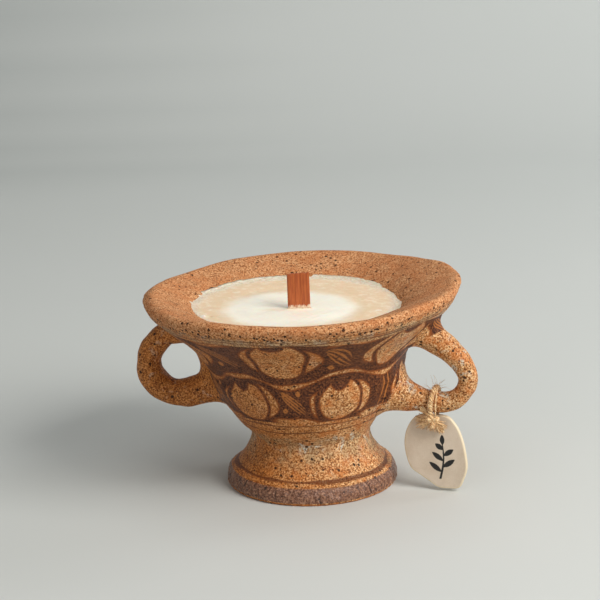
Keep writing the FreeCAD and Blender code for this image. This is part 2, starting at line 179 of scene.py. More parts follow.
def give(thing, **numbers):
    """Numbers at each vertex, which the materials read by name."""
    for name, values in numbers.items():
        attribute = thing.data.attributes.new(name, "FLOAT", "POINT")
        attribute.data.foreach_set("value", np.asarray(values, np.float32))


def grid_faces(rows, columns):
    """Quads of a sheet of rows x columns points that closes round its columns."""
    i, j = np.meshgrid(np.arange(rows - 1), np.arange(columns), indexing="ij")
    k = (j + 1) % columns
    here, ahead = i * columns, (i + 1) * columns
    return np.stack([here + j, here + k, ahead + k, ahead + j], -1).reshape(-1, 4).tolist()


def turned(profile, columns):
    """Points (radius, height) turned round Z, each end closed by a point on the axis."""
    turns = np.linspace(0, 360, columns, endpoint=False)
    angle = np.radians(turns)
    radius, height = profile[:, 0][:, None], profile[:, 1][:, None]
    ring = np.stack([radius * np.sin(angle), -radius * np.cos(angle), height + 0 * angle], -1)
    points = ring.reshape(-1, 3)
    faces = grid_faces(len(profile), columns)
    first, last = len(points), len(points) + 1
    points = np.vstack([points, [[0, 0, profile[0, 1]]], [[0, 0, profile[-1, 1]]]])
    base = (len(profile) - 1) * columns
    for j in range(columns):
        k = (j + 1) % columns
        faces.append((first, k, j))
        faces.append((last, base + j, base + k))
    return points, faces


CELL_CORNERS = list(np.ndindex(2, 2, 2))
BLOCK = 4
SAFETY = 1.35  # margin for fields that are a little steeper than a true distance


def sampled(field, low, blocks, step):
    """Field on a grid of nodes, worked out only in the blocks its zero may pass through."""
    size = BLOCK * step
    centres = low + size * (np.stack(np.meshgrid(*map(np.arange, blocks), indexing="ij"), -1) + 0.5)
    rough = field(centres.reshape(-1, 3)).reshape(blocks)
    value = rough
    for axis in range(3):
        value = np.repeat(value, BLOCK, axis)
        value = np.concatenate([value, value.take([-1], axis)], axis)
    wanted = np.zeros(value.shape, bool)
    corners = BLOCK * np.argwhere(np.abs(rough) < SAFETY * size * math.sqrt(3) / 2)
    for offset in np.ndindex(BLOCK + 1, BLOCK + 1, BLOCK + 1):
        wanted[tuple((corners + offset).T)] = True
    value[wanted] = field(low + step * np.argwhere(wanted))
    return value


def surface_net(field, low, high, step):
    """Closed quad mesh where field(points) is zero. The field is negative inside."""
    low = np.array(low, float)
    blocks = np.ceil((np.array(high) - low) / (BLOCK * step)).astype(int)
    value = sampled(field, low, blocks, step)
    inside = value < 0
    n = np.array(value.shape) - 1
    count = sum(inside[a:a + n[0], b:b + n[1], c:c + n[2]].astype(int) for a, b, c in CELL_CORNERS)
    active = (count > 0) & (count < 8)
    cells = np.argwhere(active)
    index = np.full(n, -1)
    index[active] = np.arange(len(cells))
    total, hits = np.zeros((len(cells), 3)), np.zeros((len(cells), 1))
    for corner in CELL_CORNERS:
        for axis in range(3):
            if corner[axis]:
                continue
            way = np.eye(3, dtype=int)[axis]
            a = cells + corner
            b = a + way
            va, vb = value[tuple(a.T)], value[tuple(b.T)]
            crosses = ((va < 0) != (vb < 0)).astype(float)
            t = va / np.where(crosses > 0, va - vb, 1)
            total += crosses[:, None] * (a + t[:, None] * way)
            hits += crosses[:, None]
    points = low + step * total / hits
    faces = []
    for axis in range(3):
        way, one, two = (np.eye(3, dtype=int)[(axis + turn) % 3] for turn in range(3))
        ahead = inside[way[0]:n[0] + way[0], way[1]:n[1] + way[1], way[2]:n[2] + way[2]]
        here = np.argwhere(inside[:-1, :-1, :-1] != ahead)
        here = here[(here @ one > 0) & (here @ two > 0)]
        quad = np.stack([index[tuple((here - d).T)] for d in (one + two, two, 0 * one, one)], 1)
        out = inside[tuple(here.T)]
        faces += quad[out].tolist() + quad[~out][:, ::-1].tolist()
    return settled(field, points, step), faces


def settled(field, points, step):
    """Points moved onto the field's zero, along its slope."""
    reach = step * 0.25
    way = [field(points + s) - field(points - s) for s in np.eye(3) * reach]
    way = np.stack(way, 1) / (2 * reach)
    size = np.maximum((way ** 2).sum(1), 0.05)
    for _ in range(3):
        move = -field(points)[:, None] * way / size[:, None]
        points = points + np.clip(move, -step * 0.5, step * 0.5)
    return points


# ---------------- distance fields

ROD_BATCH = 60000


def merge(a, b, width):
    """Union of two fields with a fillet."""
    h = np.clip(width - np.abs(a - b), 0, None) / width
    return np.minimum(a, b) - h * h * width / 4


def rod(points, path):
    """Distance to a round rod along rows (x, y, z, radius), from its two nearest pieces."""
    best = np.empty(len(points))
    centre, radius = path[:, :3], path[:, 3]
    for first in range(0, len(points), ROD_BATCH):
        p = points[first:first + ROD_BATCH]
        square = (p * p).sum(1)[:, None] - 2 * p @ centre.T + (centre * centre).sum(1)
        nearest = (np.sqrt(np.maximum(square, 0)) - radius).argmin(1)
        gap = np.full(len(p), 1e9)
        for shift in (-1, 0):
            i = np.clip(nearest + shift, 0, len(path) - 2)
            step = centre[i + 1] - centre[i]
            off = p - centre[i]
            t = np.clip((off * step).sum(1) / (step * step).sum(1), 0, 1)
            size = radius[i] + t * (radius[i + 1] - radius[i])
            gap = np.minimum(gap, np.linalg.norm(off - t[:, None] * step, axis=1) - size)
        best[first:first + len(p)] = gap
    return best


# ---------------- the cup's outline

# Rows: radius, height.
OUTSIDE = [(33.5, 30), (36.2, 34), (39.4, 38), (43.2, 43), (47.1, 49), (51.2, 56), (54.2, 64),
           (56.0, 72), (60.4, 80), (67.2, 88), (75.5, 95), (81.8, 101), (86.0, 106), (88.3, 110)]
LIP = [(88.3, 110), (88.1, 112.0), (86.2, 113.4), (83.6, 113.4), (80.5, 112.5)]
SLOPE = [(80.5, 112.5), (75, 110.8), (68, 108.3), (61, 104.9), (57, 102.4), (53, 99), (50, 95)]
CAVITY = [(50, 95), (46.8, 84), (46.4, 66), (42, 50), (33, 43.3), (24, 42), (6, 42)]
FOOT = [(33.5, 30), (33.6, 27), (34.2, 24), (35.8, 20), (38.5, 16), (41.6, 12.6), (44.6, 10.2)]
FOOT_BAND = [(44.6, 10.2), (46.2, 8.9), (47.4, 6.4), (48.1, 3.2), (48.1, 1.2), (47.3, 0.15)]
FOOT_UNDER = [(47.3, 0.15), (46.2, 0), (42.6, 0), (41.0, 0.5), (39.6, 3.5), (36.5, 9), (31.5, 16),
              (26, 21.4), (20, 23), (6, 23)]

OUTSIDE_ROW, BAND_ROW, SLOPE_ROW, UNDER_ROW, HIDDEN_ROW = 0.56, 0.5, 0.8, 1.4, 2.2
BOWL_COLUMNS, FOOT_COLUMNS = 720, 600


def on_drum(turn, radius, height):
    """A point for each turn and height on a drum, where ripples close round the cup."""
    a = np.radians(turn)
    return np.stack([np.sin(a) * radius, np.cos(a) * radius, height], -1)


def cup_wobble(turn, height):
    """How far the thrown wall stands out from a true circle: lumps, throwing rings and a beak."""
    a = np.radians(turn)
    rim = smooth_step(height, 88, 108)
    drum = on_drum(turn, 60, height)
    slow = 0.55 * np.sin(2 * a + 0.7) + 0.4 * np.sin(3 * a - 1.2)
    lumps = 0.35 * ripple(drum, 46, 3) + 0.16 * ripple(drum, 17, 4) + 0.3 * rim * ripple(drum, 26, 5)
    rings = 0.05 * np.sin(height * 1.1 + 0.8 * np.sin(a))
    rings += 0.04 * np.sin(height * 2.3 + 1.3 * np.cos(a))
    pits = 0.08 * rim * ripple(drum, 5.5, 6)
    beak = 1.9 * np.exp(-((turn + 92) / 22) ** 2)
    beak *= smooth_step(height, 100, 106) * smooth_step(-height, -113, -110.5)
    return rim * slow + (lumps + rings) * smooth_step(height, 0, 8) + pits + beak


def rim_wave(turn, height):
    """How far the rim rises and falls as it goes round: it sags at the back."""
    a = np.radians(turn)
    rim = smooth_step(height, 92, 112)
    ripples = 0.3 * np.sin(3 * a + 3.4) + 0.3 * np.sin(5 * a + 4.0) + 0.2 * np.sin(9 * a)
    knob = 0.9 * np.exp(-((turn - 112) / 9) ** 2)
    return rim * (ripples + knob - 2.5 * smooth_step(np.abs(turn), 92, 140))


def shaped(points):
    """Throwing marks and lumps on an upright turned form, then the lean."""
    radius = np.hypot(points[:, 0], points[:, 1])
    turn = turn_of(points)
    away = points[:, :2] / np.maximum(radius, 1e-6)[:, None]
    wobble = cup_wobble(turn, points[:, 2]) * (radius > 10)
    moved = points.copy()
    moved[:, :2] += away * wobble[:, None]
    moved[:, 2] += rim_wave(turn, points[:, 2])
    return leaned(moved)


class CupField:
    """Signed distance to the outside of the bowl, read from a table over radius and height."""

    step = 0.5
    low = np.array([20.0, 20.0])
    high = np.array([115.0, 130.0])

    def __init__(self):
        outline = smooth_curve(OUTSIDE, 1.0).tolist() + smooth_curve(LIP, 1.0).tolist()
        outline = np.array(outline + smooth_curve(SLOPE, 2.0).tolist())
        sides = [np.arange(low, high, self.step) for low, high in zip(self.low, self.high)]
        grid = np.stack(np.meshgrid(*sides, indexing="ij"), -1)
        flat = grid.reshape(-1, 2)
        best = np.full(len(flat), 1e9)
        for a, b in zip(outline[:-1], outline[1:]):
            along = b - a
            size = along @ along
            if size < 1e-9:
                continue
            t = np.clip((flat - a) @ along / size, 0, 1)
            best = np.minimum(best, np.linalg.norm(flat - a - t[:, None] * along, axis=1))
        fence = np.vstack([outline, [0, 95], [0, 30]])
        inside = np.zeros(len(flat), bool)
        for a, b in zip(fence, np.roll(fence, -1, axis=0)):
            spans = (a[1] > flat[:, 1]) != (b[1] > flat[:, 1])
            rise = b[1] - a[1] if abs(b[1] - a[1]) > 1e-12 else 1e-12
            inside ^= spans & (flat[:, 0] < a[0] + (flat[:, 1] - a[1]) / rise * (b[0] - a[0]))
        self.table = np.where(inside, -best, best).reshape(grid.shape[:2])

    def __call__(self, points):
        p = upright(points)
        turn = turn_of(p)
        radius = np.hypot(p[:, 0], p[:, 1]) - cup_wobble(turn, p[:, 2])
        height = p[:, 2] - rim_wave(turn, p[:, 2])
        at = (np.stack([radius, height], 1) - self.low) / self.step
        at = np.clip(at, 0, np.array(self.table.shape) - 1.001)
        i, j = at.astype(int).T
        u, v = (at % 1).T
        t = self.table
        near_row = t[i, j] * (1 - u) + t[i + 1, j] * u
        far_row = t[i, j + 1] * (1 - u) + t[i + 1, j + 1] * u
        return near_row * (1 - v) + far_row * v


# ---------------- handles

# Rows: degrees round the finger hole (0 outwards, 90 up), distance from its centre, tube radius.
LEFT_HOLE = (74.3, 67.0)
LEFT_RING = [(68, 17.7, 7.0), (48, 17.0, 7.1), (30, 17.1, 6.9), (14, 17.7, 7.0), (0, 18.4, 7.2),
             (-26, 19.2, 7.7), (-60, 19.3, 7.6), (-92, 19.4, 7.2), (-118, 19.3, 6.9),
             (-150, 18.6, 6.3), (-180, 17.8, 6.2), (-215, 17.8, 6.3), (-250, 18.3, 6.8)]

# Rows: distance from the cup's axis, height, tube radius.
LEFT_ROOT = [(68, 49.8, 7.2), (58, 50.2, 6.6), (46, 51, 6.4)]
RIGHT_PATH = [(62, 94, 8.8), (66, 91.2, 8.4), (71.8, 86.9, 7.8), (80.4, 81.0, 6.9),
              (87.0, 74.4, 6.3), (90.8, 66.2, 5.6), (90.2, 60.2, 5.3), (87.9, 56.2, 5.3),
              (84.2, 52.9, 5.5), (78.5, 50.8, 6.0), (72, 50.4, 6.2), (65, 50.8, 6.6),
              (57, 52.4, 8.4), (46, 55.5, 11.2)]
HANDLE_FILLET = 9.0
HANDLE_STEP = 0.52
HANDLE_MARGIN = 17
SKIRT_DEPTH = 1.55  # how far a handle's skirt reaches under the wall's surface


def handle_path(rows, turn):
    """Rows (distance from the axis, height, radius) stood up in the vertical plane at a turn."""
    a = math.radians(turn)
    away, height, radius = rows.T
    return np.stack([away * math.sin(a), -away * math.cos(a), height, radius], 1)


def left_paths():
    angle, away, radius = np.array(LEFT_RING, float).T
    a = np.radians(angle)
    ring = [LEFT_HOLE[0] + away * np.cos(a), LEFT_HOLE[1] + away * np.sin(a), radius]
    ring = smooth_curve(np.stack(ring, 1), 1.0, closed=True)
    root = smooth_curve(LEFT_ROOT, 1.0)
    return [handle_path(np.vstack([ring, ring[:1]]), LEFT_TURN), handle_path(root, LEFT_TURN)]


def right_paths():
    return [handle_path(smooth_curve(RIGHT_PATH, 1.0), RIGHT_TURN)]


def tube_field(paths):
    def field(points):
        gap = rod(points, paths[0])
        for path in paths[1:]:
            gap = merge(gap, rod(points, path), 5)
        return gap - 0.22 * ripple(points, 21, 11) - 0.1 * ripple(points, 8, 12)
    return field


def past_middle(points):
    """Distance beyond the middle of the rim's wall, so a handle never shows inside the cup."""
    p = upright(points)
    return (p[:, 2] - 90 - 0.8 * (np.hypot(p[:, 0], p[:, 1]) - 60)) * 0.78


def make_handle(name, paths, cup):
    tube = tube_field(paths)

    def field(points):
        wall, rope = cup(points), tube(points)
        both = merge(wall, rope, HANDLE_FILLET)
        sink = 0.6 * smooth_step(rope, HANDLE_FILLET * 0.45, HANDLE_FILLET * 0.95)
        bound = np.maximum(rope - HANDLE_FILLET, -(wall + SKIRT_DEPTH))
        return np.maximum.reduce([both + sink, bound, past_middle(points)])

    rows = np.vstack(paths)
    low, high = rows[:, :3].min(0) - HANDLE_MARGIN, rows[:, :3].max(0) + HANDLE_MARGIN
    points, faces = surface_net(field, low, high, HANDLE_STEP)
    handle = make_object(name, points, faces)
    paint_clay(handle, upright(points), np.ones(len(points), bool), tube(points), cup(points))
    return handle, tube


# ---------------- painted band

# The pattern repeats six times round the cup. "pace" is the turn, stretched a little so that the
# repeats sit closer together at the front than at the back.
FAR_OUT = -9.0
REPEAT = 60.0
LOWER_DISC = 20.4
UPPER_DISC = -12.4
BAND_LOW, BAND_HIGH = 47.3, 101.4
DISC_RING = 2.7
# Rows: height, half width, waver.
LINES = [(11.7, 0.85, 0.12), (40.6, 0.5, 0.5), (45.3, 0.75, 0.45), (103.0, 0.5, 0.5), (104.9, 0.3, 0.5)]


def pace_of(turn):
    return turn + 2.5 * np.sin(np.radians(turn))


def near(pace, centre):
    """Degrees of pace from the nearest repeat of a centre."""
    return (pace - centre + REPEAT / 2) % REPEAT - REPEAT / 2


def blob(x, z, centre, half, power=2.0):
    """How far, in millimetres, a point is inside a rounded shape."""
    reach = np.abs((x - centre[0]) / half[0]) ** power + np.abs((z - centre[1]) / half[1]) ** power
    return (1 - reach ** (1 / power)) * min(half)


def stroke(x, z, start, end, width, bulge):
    """How far a point is inside a tapered brush stroke that bows sideways by bulge."""
    way = np.array([end[0] - start[0], end[1] - start[1]])
    size = math.hypot(*way)
    way /= size
    t = ((x - start[0]) * way[0] + (z - start[1]) * way[1]) / size
    side = (z - start[1]) * way[0] - (x - start[0]) * way[1]
    inside = np.clip(t, 0, 1)
    past = (t - inside) * size
    half = width * (0.3 + 0.7 * np.sin(math.pi * np.clip(inside * 0.85 + 0.1, 0, 1)))
    return half - np.hypot(side - bulge * np.sin(math.pi * inside), past)


def brush_fan(x, z, start, end, count, width, spread):
    """A bundle of strokes side by side that part a little towards their ends."""
    way = np.array([end[0] - start[0], end[1] - start[1]])
    side = np.array([-way[1], way[0]]) / math.hypot(*way)
    strokes = []
    for place in np.linspace(-1, 1, count):
        head = np.array(start) + side * place * spread * 0.55 + way * 0.12 * abs(place)
        tail = np.array(end) + side * place * spread - way * 0.1 * abs(place + 0.3)
        strokes.append(stroke(x, z, head, tail, width * (1 - 0.2 * abs(place)), place * 0.35 * spread))
    return strokes


def band_motifs(turn, height):
    """Distances inside the light clay shapes, and inside the thin orange brush marks."""
    pace = pace_of(turn)
    scale = math.pi / 180 * np.interp(height, [45, 60, 75, 90, 105], [44, 53, 57, 69, 84])
    flat = np.stack([turn * 0.9, height, 0 * height], -1)
    wander = 0.55 * ripple(flat, 17, 21)
    z = height + 0.5 * ripple(flat, 14, 22)
    x_low = near(pace, LOWER_DISC) * scale + wander
    x_up = near(pace, UPPER_DISC) * scale + wander
    x_gap = near(pace, LOWER_DISC - REPEAT / 2) * scale + wander
    x_top = near(pace, UPPER_DISC + REPEAT / 2) * scale + wander

    lower = blob(x_low, z, (-0.4, 60.9), (12.3, 12.2), 2.1)
    lower_ring = lower + DISC_RING * (1 + 0.25 * np.sin(np.radians(pace * 6 + 40)))
    nick = -0.6 - 1.6 * smooth_step(-turn, 0, 30)
    lower = np.minimum(lower, -blob(x_low, z, (nick, 73.2), (6.0, 6.4)))
    narrow = 1 + 0.14 * np.clip((z - 90) / 12, -1, 0.6)
    upper = blob(x_up / narrow, z, (0.3, 90.3), (14.2, 13.0), 2.2)
    upper_ring = upper + DISC_RING * (1 + 0.2 * np.sin(np.radians(pace * 6)))
    upper = np.minimum(upper, -blob(x_up, z, (-1.2, 102.4), (7.4, 4.6)))
    wide_left = 2.6 * smooth_step(turn, 22, 34)
    moons = [
        np.minimum(blob(x_low, z, (5.6, 61.2), (13.4, 10.8)), -lower_ring),
        np.minimum(blob(x_low, z, (-4.0, 60.4), (13.9, 11.0)), -lower_ring),
        np.minimum(blob(x_up, z, (7.4, 90.4), (17.0, 10.2)), -upper_ring),
        np.minimum(blob(x_up, z, (-4.4 - wide_left, 91.6), (17.0, 10.4)), -upper_ring),
    ]
    crest = np.cos(np.radians((pace - LOWER_DISC) * 360 / REPEAT))
    wave_z = 74.9 + 3.9 * crest + 0.9 * np.sin(np.radians(turn * 1.7))
    swell = 0.2 + 1.0 * np.abs(crest) ** 1.6
    wave = swell - np.abs(z - wave_z) * 0.85
    scallop = blob(x_gap, z, (0.5, 48.4), (11.5, 2.8), 2.0)
    lintel = np.minimum(blob(x_top, z, (2.0, 100.6), (11.0, 1.5)), 100.6 - z)

    marks = brush_fan(x_top, z, (-12.0, 98.0), (6.4, 85.0), 4, 0.62, 3.1)
    marks.append(blob(x_top, z, (-6.2, 83.4), (1.7, 1.7)))
    gap_marks = brush_fan(x_gap, z, (-6.6, 69.0), (5.6, 54.6), 4, 0.56, 2.4)
    gap_marks += [blob(x_gap, z, (4.4, 67.0), (1.4, 1.6)), blob(x_gap, z, (-4.6, 56.4), (1.4, 1.7))]
    x_side = (turn - 52) * scale
    side_marks = [stroke(x_side, z, (at - 1.2, 71.0), (at + 0.4, 51.5), 0.62, 0.9)
                  for at in (-2.4, 1.4)]
    beside_handle = (turn > 38) & (turn < 75)
    beside, between = np.maximum.reduce(side_marks), np.maximum.reduce(gap_marks)
    marks.append(np.where(beside_handle, beside, between))
    shapes = [lower, upper, wave, scallop, lintel] + moons
    return np.maximum.reduce(shapes), np.maximum.reduce(marks)


def band_edges(turn, height):
    """Signed distance inside the dark band, whose edges waver a little."""
    flat = np.stack([turn * 0.9, 0 * height, 0 * height], -1)
    rise = 1.3 * smooth_step(turn, 34, 50) * smooth_step(-turn, -70, -50)
    top = BAND_HIGH + 0.5 * ripple(flat, 30, 31) + rise
    bottom = BAND_LOW + 0.45 * ripple(flat, 24, 32)
    return np.minimum(top - height, height - bottom)


def brush_lines(turn, height):
    """Signed distance inside the thin brown lines round the cup."""
    flat = np.stack([turn * 0.9, 0 * height, 0 * height], -1)
    best = np.full(len(turn), FAR_OUT)
    for seed, (level, half, waver) in enumerate(LINES, start=41):
        width = half * np.clip(0.8 + 0.5 * ripple(flat, 34, seed + 10), 0.5, 1.05)
        best = np.maximum(best, width - np.abs(height - level - waver * ripple(flat, 37, seed)))
    return best


# ---------------- turned pieces

def paint_clay(thing, points, outer, rope, wall):
    """Pattern distances for a clay piece.

    points are upright, outer marks the outside wall, and rope and wall are the distances to the
    handles and to the bowl. The slip ends where a handle starts, but runs a little way up the
    right handle's upper root.
    """
    turn, height = turn_of(points), points[:, 2]
    light, marks = band_motifs(turn, height)
    patterns = {"light": light, "marks": marks, "band": band_edges(turn, height),
                "lines": brush_lines(turn, height)}
    give(thing, **{name: np.where(outer, values, FAR_OUT) for name, values in patterns.items()})
    climb = 9.0 * smooth_step(height, 82, 92) * smooth_step(turn, 30, 50)
    give(thing, root=rope - wall + climb, upright_z=height, turn=turn)


def rope_distance(points, tubes):
    placed = leaned(points)
    return np.minimum.reduce([tube(placed) for tube in tubes])


def on_columns(rows, columns):
    """Row flags spread over a turned piece's points, with its two closing points off."""
    return np.concatenate([np.repeat(rows, columns), [False, False]])


def make_bowl(tubes):
    outer = smooth_curve(OUTSIDE, OUTSIDE_ROW)
    lip = smooth_curve(LIP, OUTSIDE_ROW)[1:]
    inner = smooth_curve(SLOPE, SLOPE_ROW)[1:]
    cavity = smooth_curve(CAVITY, HIDDEN_ROW)[1:]
    profile = np.vstack([outer, lip, inner, cavity])
    points, faces = turned(profile, BOWL_COLUMNS)
    bowl = make_object("bowl_clay", shaped(points), faces)
    row = np.arange(len(profile))
    painted = on_columns(row < len(outer) + 2, BOWL_COLUMNS)
    paint_clay(bowl, points, painted, rope_distance(points, tubes), 0)
    give(bowl, inner=on_columns(row >= len(outer), BOWL_COLUMNS))
    return bowl


CRACKS = 18


def foot_cracks(points):
    """How deep the drying cracks and chips round the dark foot band are."""
    rng = np.random.default_rng(17)
    turn, height = turn_of(points), points[:, 2]
    depth = np.zeros(len(points))
    for _ in range(CRACKS):
        where, low, tall = rng.uniform(-180, 180), rng.uniform(-2, 5), rng.uniform(3, 8)
        slant, deep, width = rng.normal() * 0.25, rng.uniform(0.25, 0.8), rng.uniform(0.35, 0.7)
        across = ((turn - where + 180) % 360 - 180) * 0.84 - slant * (height - low)
        window = smooth_step(height, low, low + 1) * smooth_step(-height, -low - tall, -low - tall + 2)
        depth = np.maximum(depth, deep * np.exp(-(across / width) ** 2) * window)
    return depth * (height < 10.5)


def make_foot(tubes):
    outer = np.vstack([smooth_curve(FOOT, OUTSIDE_ROW), smooth_curve(FOOT_BAND, BAND_ROW)[1:]])
    under = smooth_curve(FOOT_UNDER, UNDER_ROW)[1:]
    profile = np.vstack([outer, under])[::-1]
    points, faces = turned(profile, FOOT_COLUMNS)
    radius = np.hypot(points[:, 0], points[:, 1])
    leather = 0.13 * ripple(points, 4.2, 18) + 0.05 * ripple(points, 2.2, 19)
    on_band = smooth_step(-points[:, 2], -10.5, -8.5) * (radius > 43.5)
    groove = 0.6 * np.exp(-((points[:, 2] - 11.8) / 0.7) ** 2) * (radius > 41)
    cracks = foot_cracks(points)
    cut = points.copy()
    cut[:, :2] *= (1 - (groove + on_band * (cracks + leather)) / np.maximum(radius, 1))[:, None]
    foot = make_object("foot_clay", shaped(cut), faces)
    row = np.arange(len(profile))[::-1]
    painted = on_columns(row < len(outer), FOOT_COLUMNS)
    paint_clay(foot, points, painted, rope_distance(points, tubes), 0)
    give(foot, crack=cracks)
    return foot


# ---------------- wax

WAX_SHIFT = -6.9  # the lean carries the wax this far to the left
WAX_RADIUS = 58.3
WAX_COLUMNS = 420
WAX_BEAD, WAX_PIT = (-57.5, -21.0), (-53.6, -20.6)
WICK_WIDTH, WICK_THICK = 12.7, 1.0
WICK_SPOT = np.mean(BOX["wick"], 0)[:2] - [1.1, 0]


def plan_gap(points, centre, half=(0, 0)):
    """Distance in plan from a rectangle, or from a point."""
    out = np.maximum(np.abs(points[:, :2] - centre) - half, 0)
    return np.hypot(out[:, 0], out[:, 1])


def make_wax():
    """Level wax with a thin ragged edge that creeps up the rim's slope, closed underneath."""
    rows = np.arange(0.8, WAX_RADIUS - 2, 0.62)
    top = [(r, WAX_Z - 0.35 * math.exp(-((r - 36) / 5) ** 2)) for r in rows]
    edge = [(WAX_RADIUS + out, WAX_Z + up) for out, up in
            ((-1.2, 0.02), (0, 0.12), (1.3, 0.5), (2.4, 0.8), (1.4, -1.4))]
    under = [(52, 97), (47, 88), (45.5, 70), (41, 52), (30, 44.5), (3, 44.5)]
    points, faces = turned(np.array(top + edge + under)[::-1], WAX_COLUMNS)
    radius = np.hypot(points[:, 0], points[:, 1])
    ring = on_drum(turn_of(points), 57, 0 * radius)
    on_top = points[:, 2] > 95
    creep = smooth_step(radius, WAX_RADIUS - 9, WAX_RADIUS) * on_top
    reach = 0.4 * ripple(ring, 27, 52) + 0.25 * ripple(ring, 9, 51) + 0.22 * ripple(ring, 3.1, 54)
    away = points[:, :2] / np.maximum(radius, 1e-6)[:, None]
    points[:, :2] += away * (creep * reach)[:, None]
    points[:, 0] += WAX_SHIFT * np.where(on_top, 1, (points[:, 2] - 30) / 72)
    level = points[:, 2] > WAX_Z - 0.8
    bead, pit = plan_gap(points, WAX_BEAD), plan_gap(points, WAX_PIT)
    gap = plan_gap(points, WICK_SPOT, (6.3, 0.5))
    flat = points * [1, 1, 0]
    lift = 0.05 * ripple(flat, 18, 53) + 0.03 * ripple(flat, 4, 55) + 0.55 * np.exp(-gap / 0.8)
    lift += 0.3 * smooth_step(radius, WAX_RADIUS - 1, WAX_RADIUS + 3)
    lift += 1.0 * np.exp(-(bead / 1.3) ** 2) - 0.7 * np.exp(-(pit / 1.2) ** 2)
    points[:, 2] += np.where(level, lift, 0)
    wax = make_object("poured_wax", points, faces)
    x, y = (points[:, :2] - WICK_SPOT).T
    give(wax, wick_gap=gap, bead=np.minimum(bead, 9), pit=np.minimum(pit, 9), reach=radius,
         melt=np.hypot(x + 4.8, y), stain=np.hypot((x + 13) / 9, (y + 1) / 4))
    return wax


# ---------------- wick

WICK_ROWS, WICK_COLUMNS = 90, 34
WICK_SLANT, WICK_TILT = 0.95, 0.012
WICK_ARRIS = 0.35


def make_wick():
    """Sawn strip with slightly uneven faces and a top cut a little out of square."""
    bottom, top = WAX_Z - 22, BOX["wick"][1][2] - 0.5
    across = np.linspace(-0.5, 0.5, WICK_COLUMNS + 1)
    ring = 2 * len(across)
    u = np.tile(np.concatenate([across, across[::-1]]), WICK_ROWS + 1)
    v = np.repeat(np.linspace(0, 1, WICK_ROWS + 1), ring)
    side = np.where(np.arange(len(u)) % ring < len(across), -1, 1)
    x = u * WICK_WIDTH * (1 - 0.03 * v)
    y = side * WICK_THICK / 2 * np.minimum(1, (0.5 - np.abs(u)) * WICK_WIDTH / WICK_ARRIS + WICK_ARRIS)
    z = v * (top - bottom + u * WICK_SLANT)
    fibre = np.stack([x, y, z * 0.04], 1)
    y = y + side * 0.06 * ripple(fibre, 1.9, 61)
    z = z + 0.16 * (v > 0.999) * ripple(fibre * [1, 0, 0], 2.6, 62)
    x = x - (bottom + z - WAX_Z) * WICK_TILT
    points = np.stack([WICK_SPOT[0] + x, WICK_SPOT[1] + y, bottom + z], 1)
    faces = grid_faces(WICK_ROWS + 1, ring)
    for base in (0, WICK_ROWS * ring):
        faces += [(base + j, base + j + 1, base + ring - 2 - j, base + ring - 1 - j)
                  for j in range(WICK_COLUMNS)]
    wick = make_object("wooden_wick", points, faces)
    give(wick, above_wax=points[:, 2] - WAX_Z)
    return wick


# ---------------- tag

TAG_THICK = 3.0
TAG_EDGE, HOLE_RADIUS, HOLE_EDGE = 0.8, 2.3, 0.5
TAG_COLUMNS, TAG_ROWS = 460, 80
# Outline round the hole, clockwise in the tag's own plane: x to the right, y up.
TAG_OUTLINE = [(0, 4.5), (5, 4.4), (8.8, 3.2), (12.4, -0.6), (15.0, -5.2), (17.2, -11.6), (18.4, -17.6),
               (19.1, -22.5), (18.9, -26.8), (17.5, -31.2), (15.8, -35.4), (13.2, -37.0), (8.2, -37.3),
               (4.6, -37.2), (1.6, -36.3), (-3.6, -33.0), (-9.4, -29.5), (-12.4, -27.4), (-14.3, -24.0),
               (-16.0, -18.2), (-16.7, -12.2), (-15.9, -6.4), (-13.8, -1.4), (-11.0, 2.2), (-7.0, 4.1)]


# Rows: height where a leaf leaves the stem, how far it reaches to the right.
LEAVES = [(-28.0, -7.4), (-25.2, 6.8), (-21.6, -6.6), (-18.6, 5.6), (-15.2, -4.6)]


def tag_frame(points):
    """From the tag's plane (x right, y up, z towards the back) to the part's frame."""
    return TAG_HOLE + points[:, :1] * BAR_WAY + points[:, 1:2] * HANG_UP + points[:, 2:] * TAG_BACK


def leaf(x, y, base, tip, width):
    """How far a point is inside a pointed leaf."""
    way = np.array([tip[0] - base[0], tip[1] - base[1]])
    size = math.hypot(*way)
    t = ((x - base[0]) * way[0] + (y - base[1]) * way[1]) / size ** 2
    side = ((y - base[1]) * way[0] - (x - base[0]) * way[1]) / size
    half = width * np.sin(math.pi * np.clip(t, 0, 1)) ** 0.8
    return half - np.hypot(side, (t - np.clip(t, 0, 1)) * size)


def tag_ink(x, y):
    """How far a point is inside the ink: an invented sprig with leaves on a curved stem."""
    def stem(height):
        return 4.2 + 1.7 * np.sin((height + 32) / 24 * math.pi)

    half = 0.62 - 0.25 * smooth_step(y, -32, -12)
    ink = np.minimum(half - np.abs(x - stem(y)) * 0.95, np.minimum(y + 32.0, -11.0 - y))
    for low, reach in LEAVES:
        tip = (stem(low) + reach, low + abs(reach) * 0.72)
        ink = np.maximum(ink, leaf(x, y, (stem(low), low), tip, 1.5))
    return np.maximum(ink, leaf(x, y, (stem(-12.6), -12.6), (stem(-12.6) - 0.4, -6.6), 1.35))


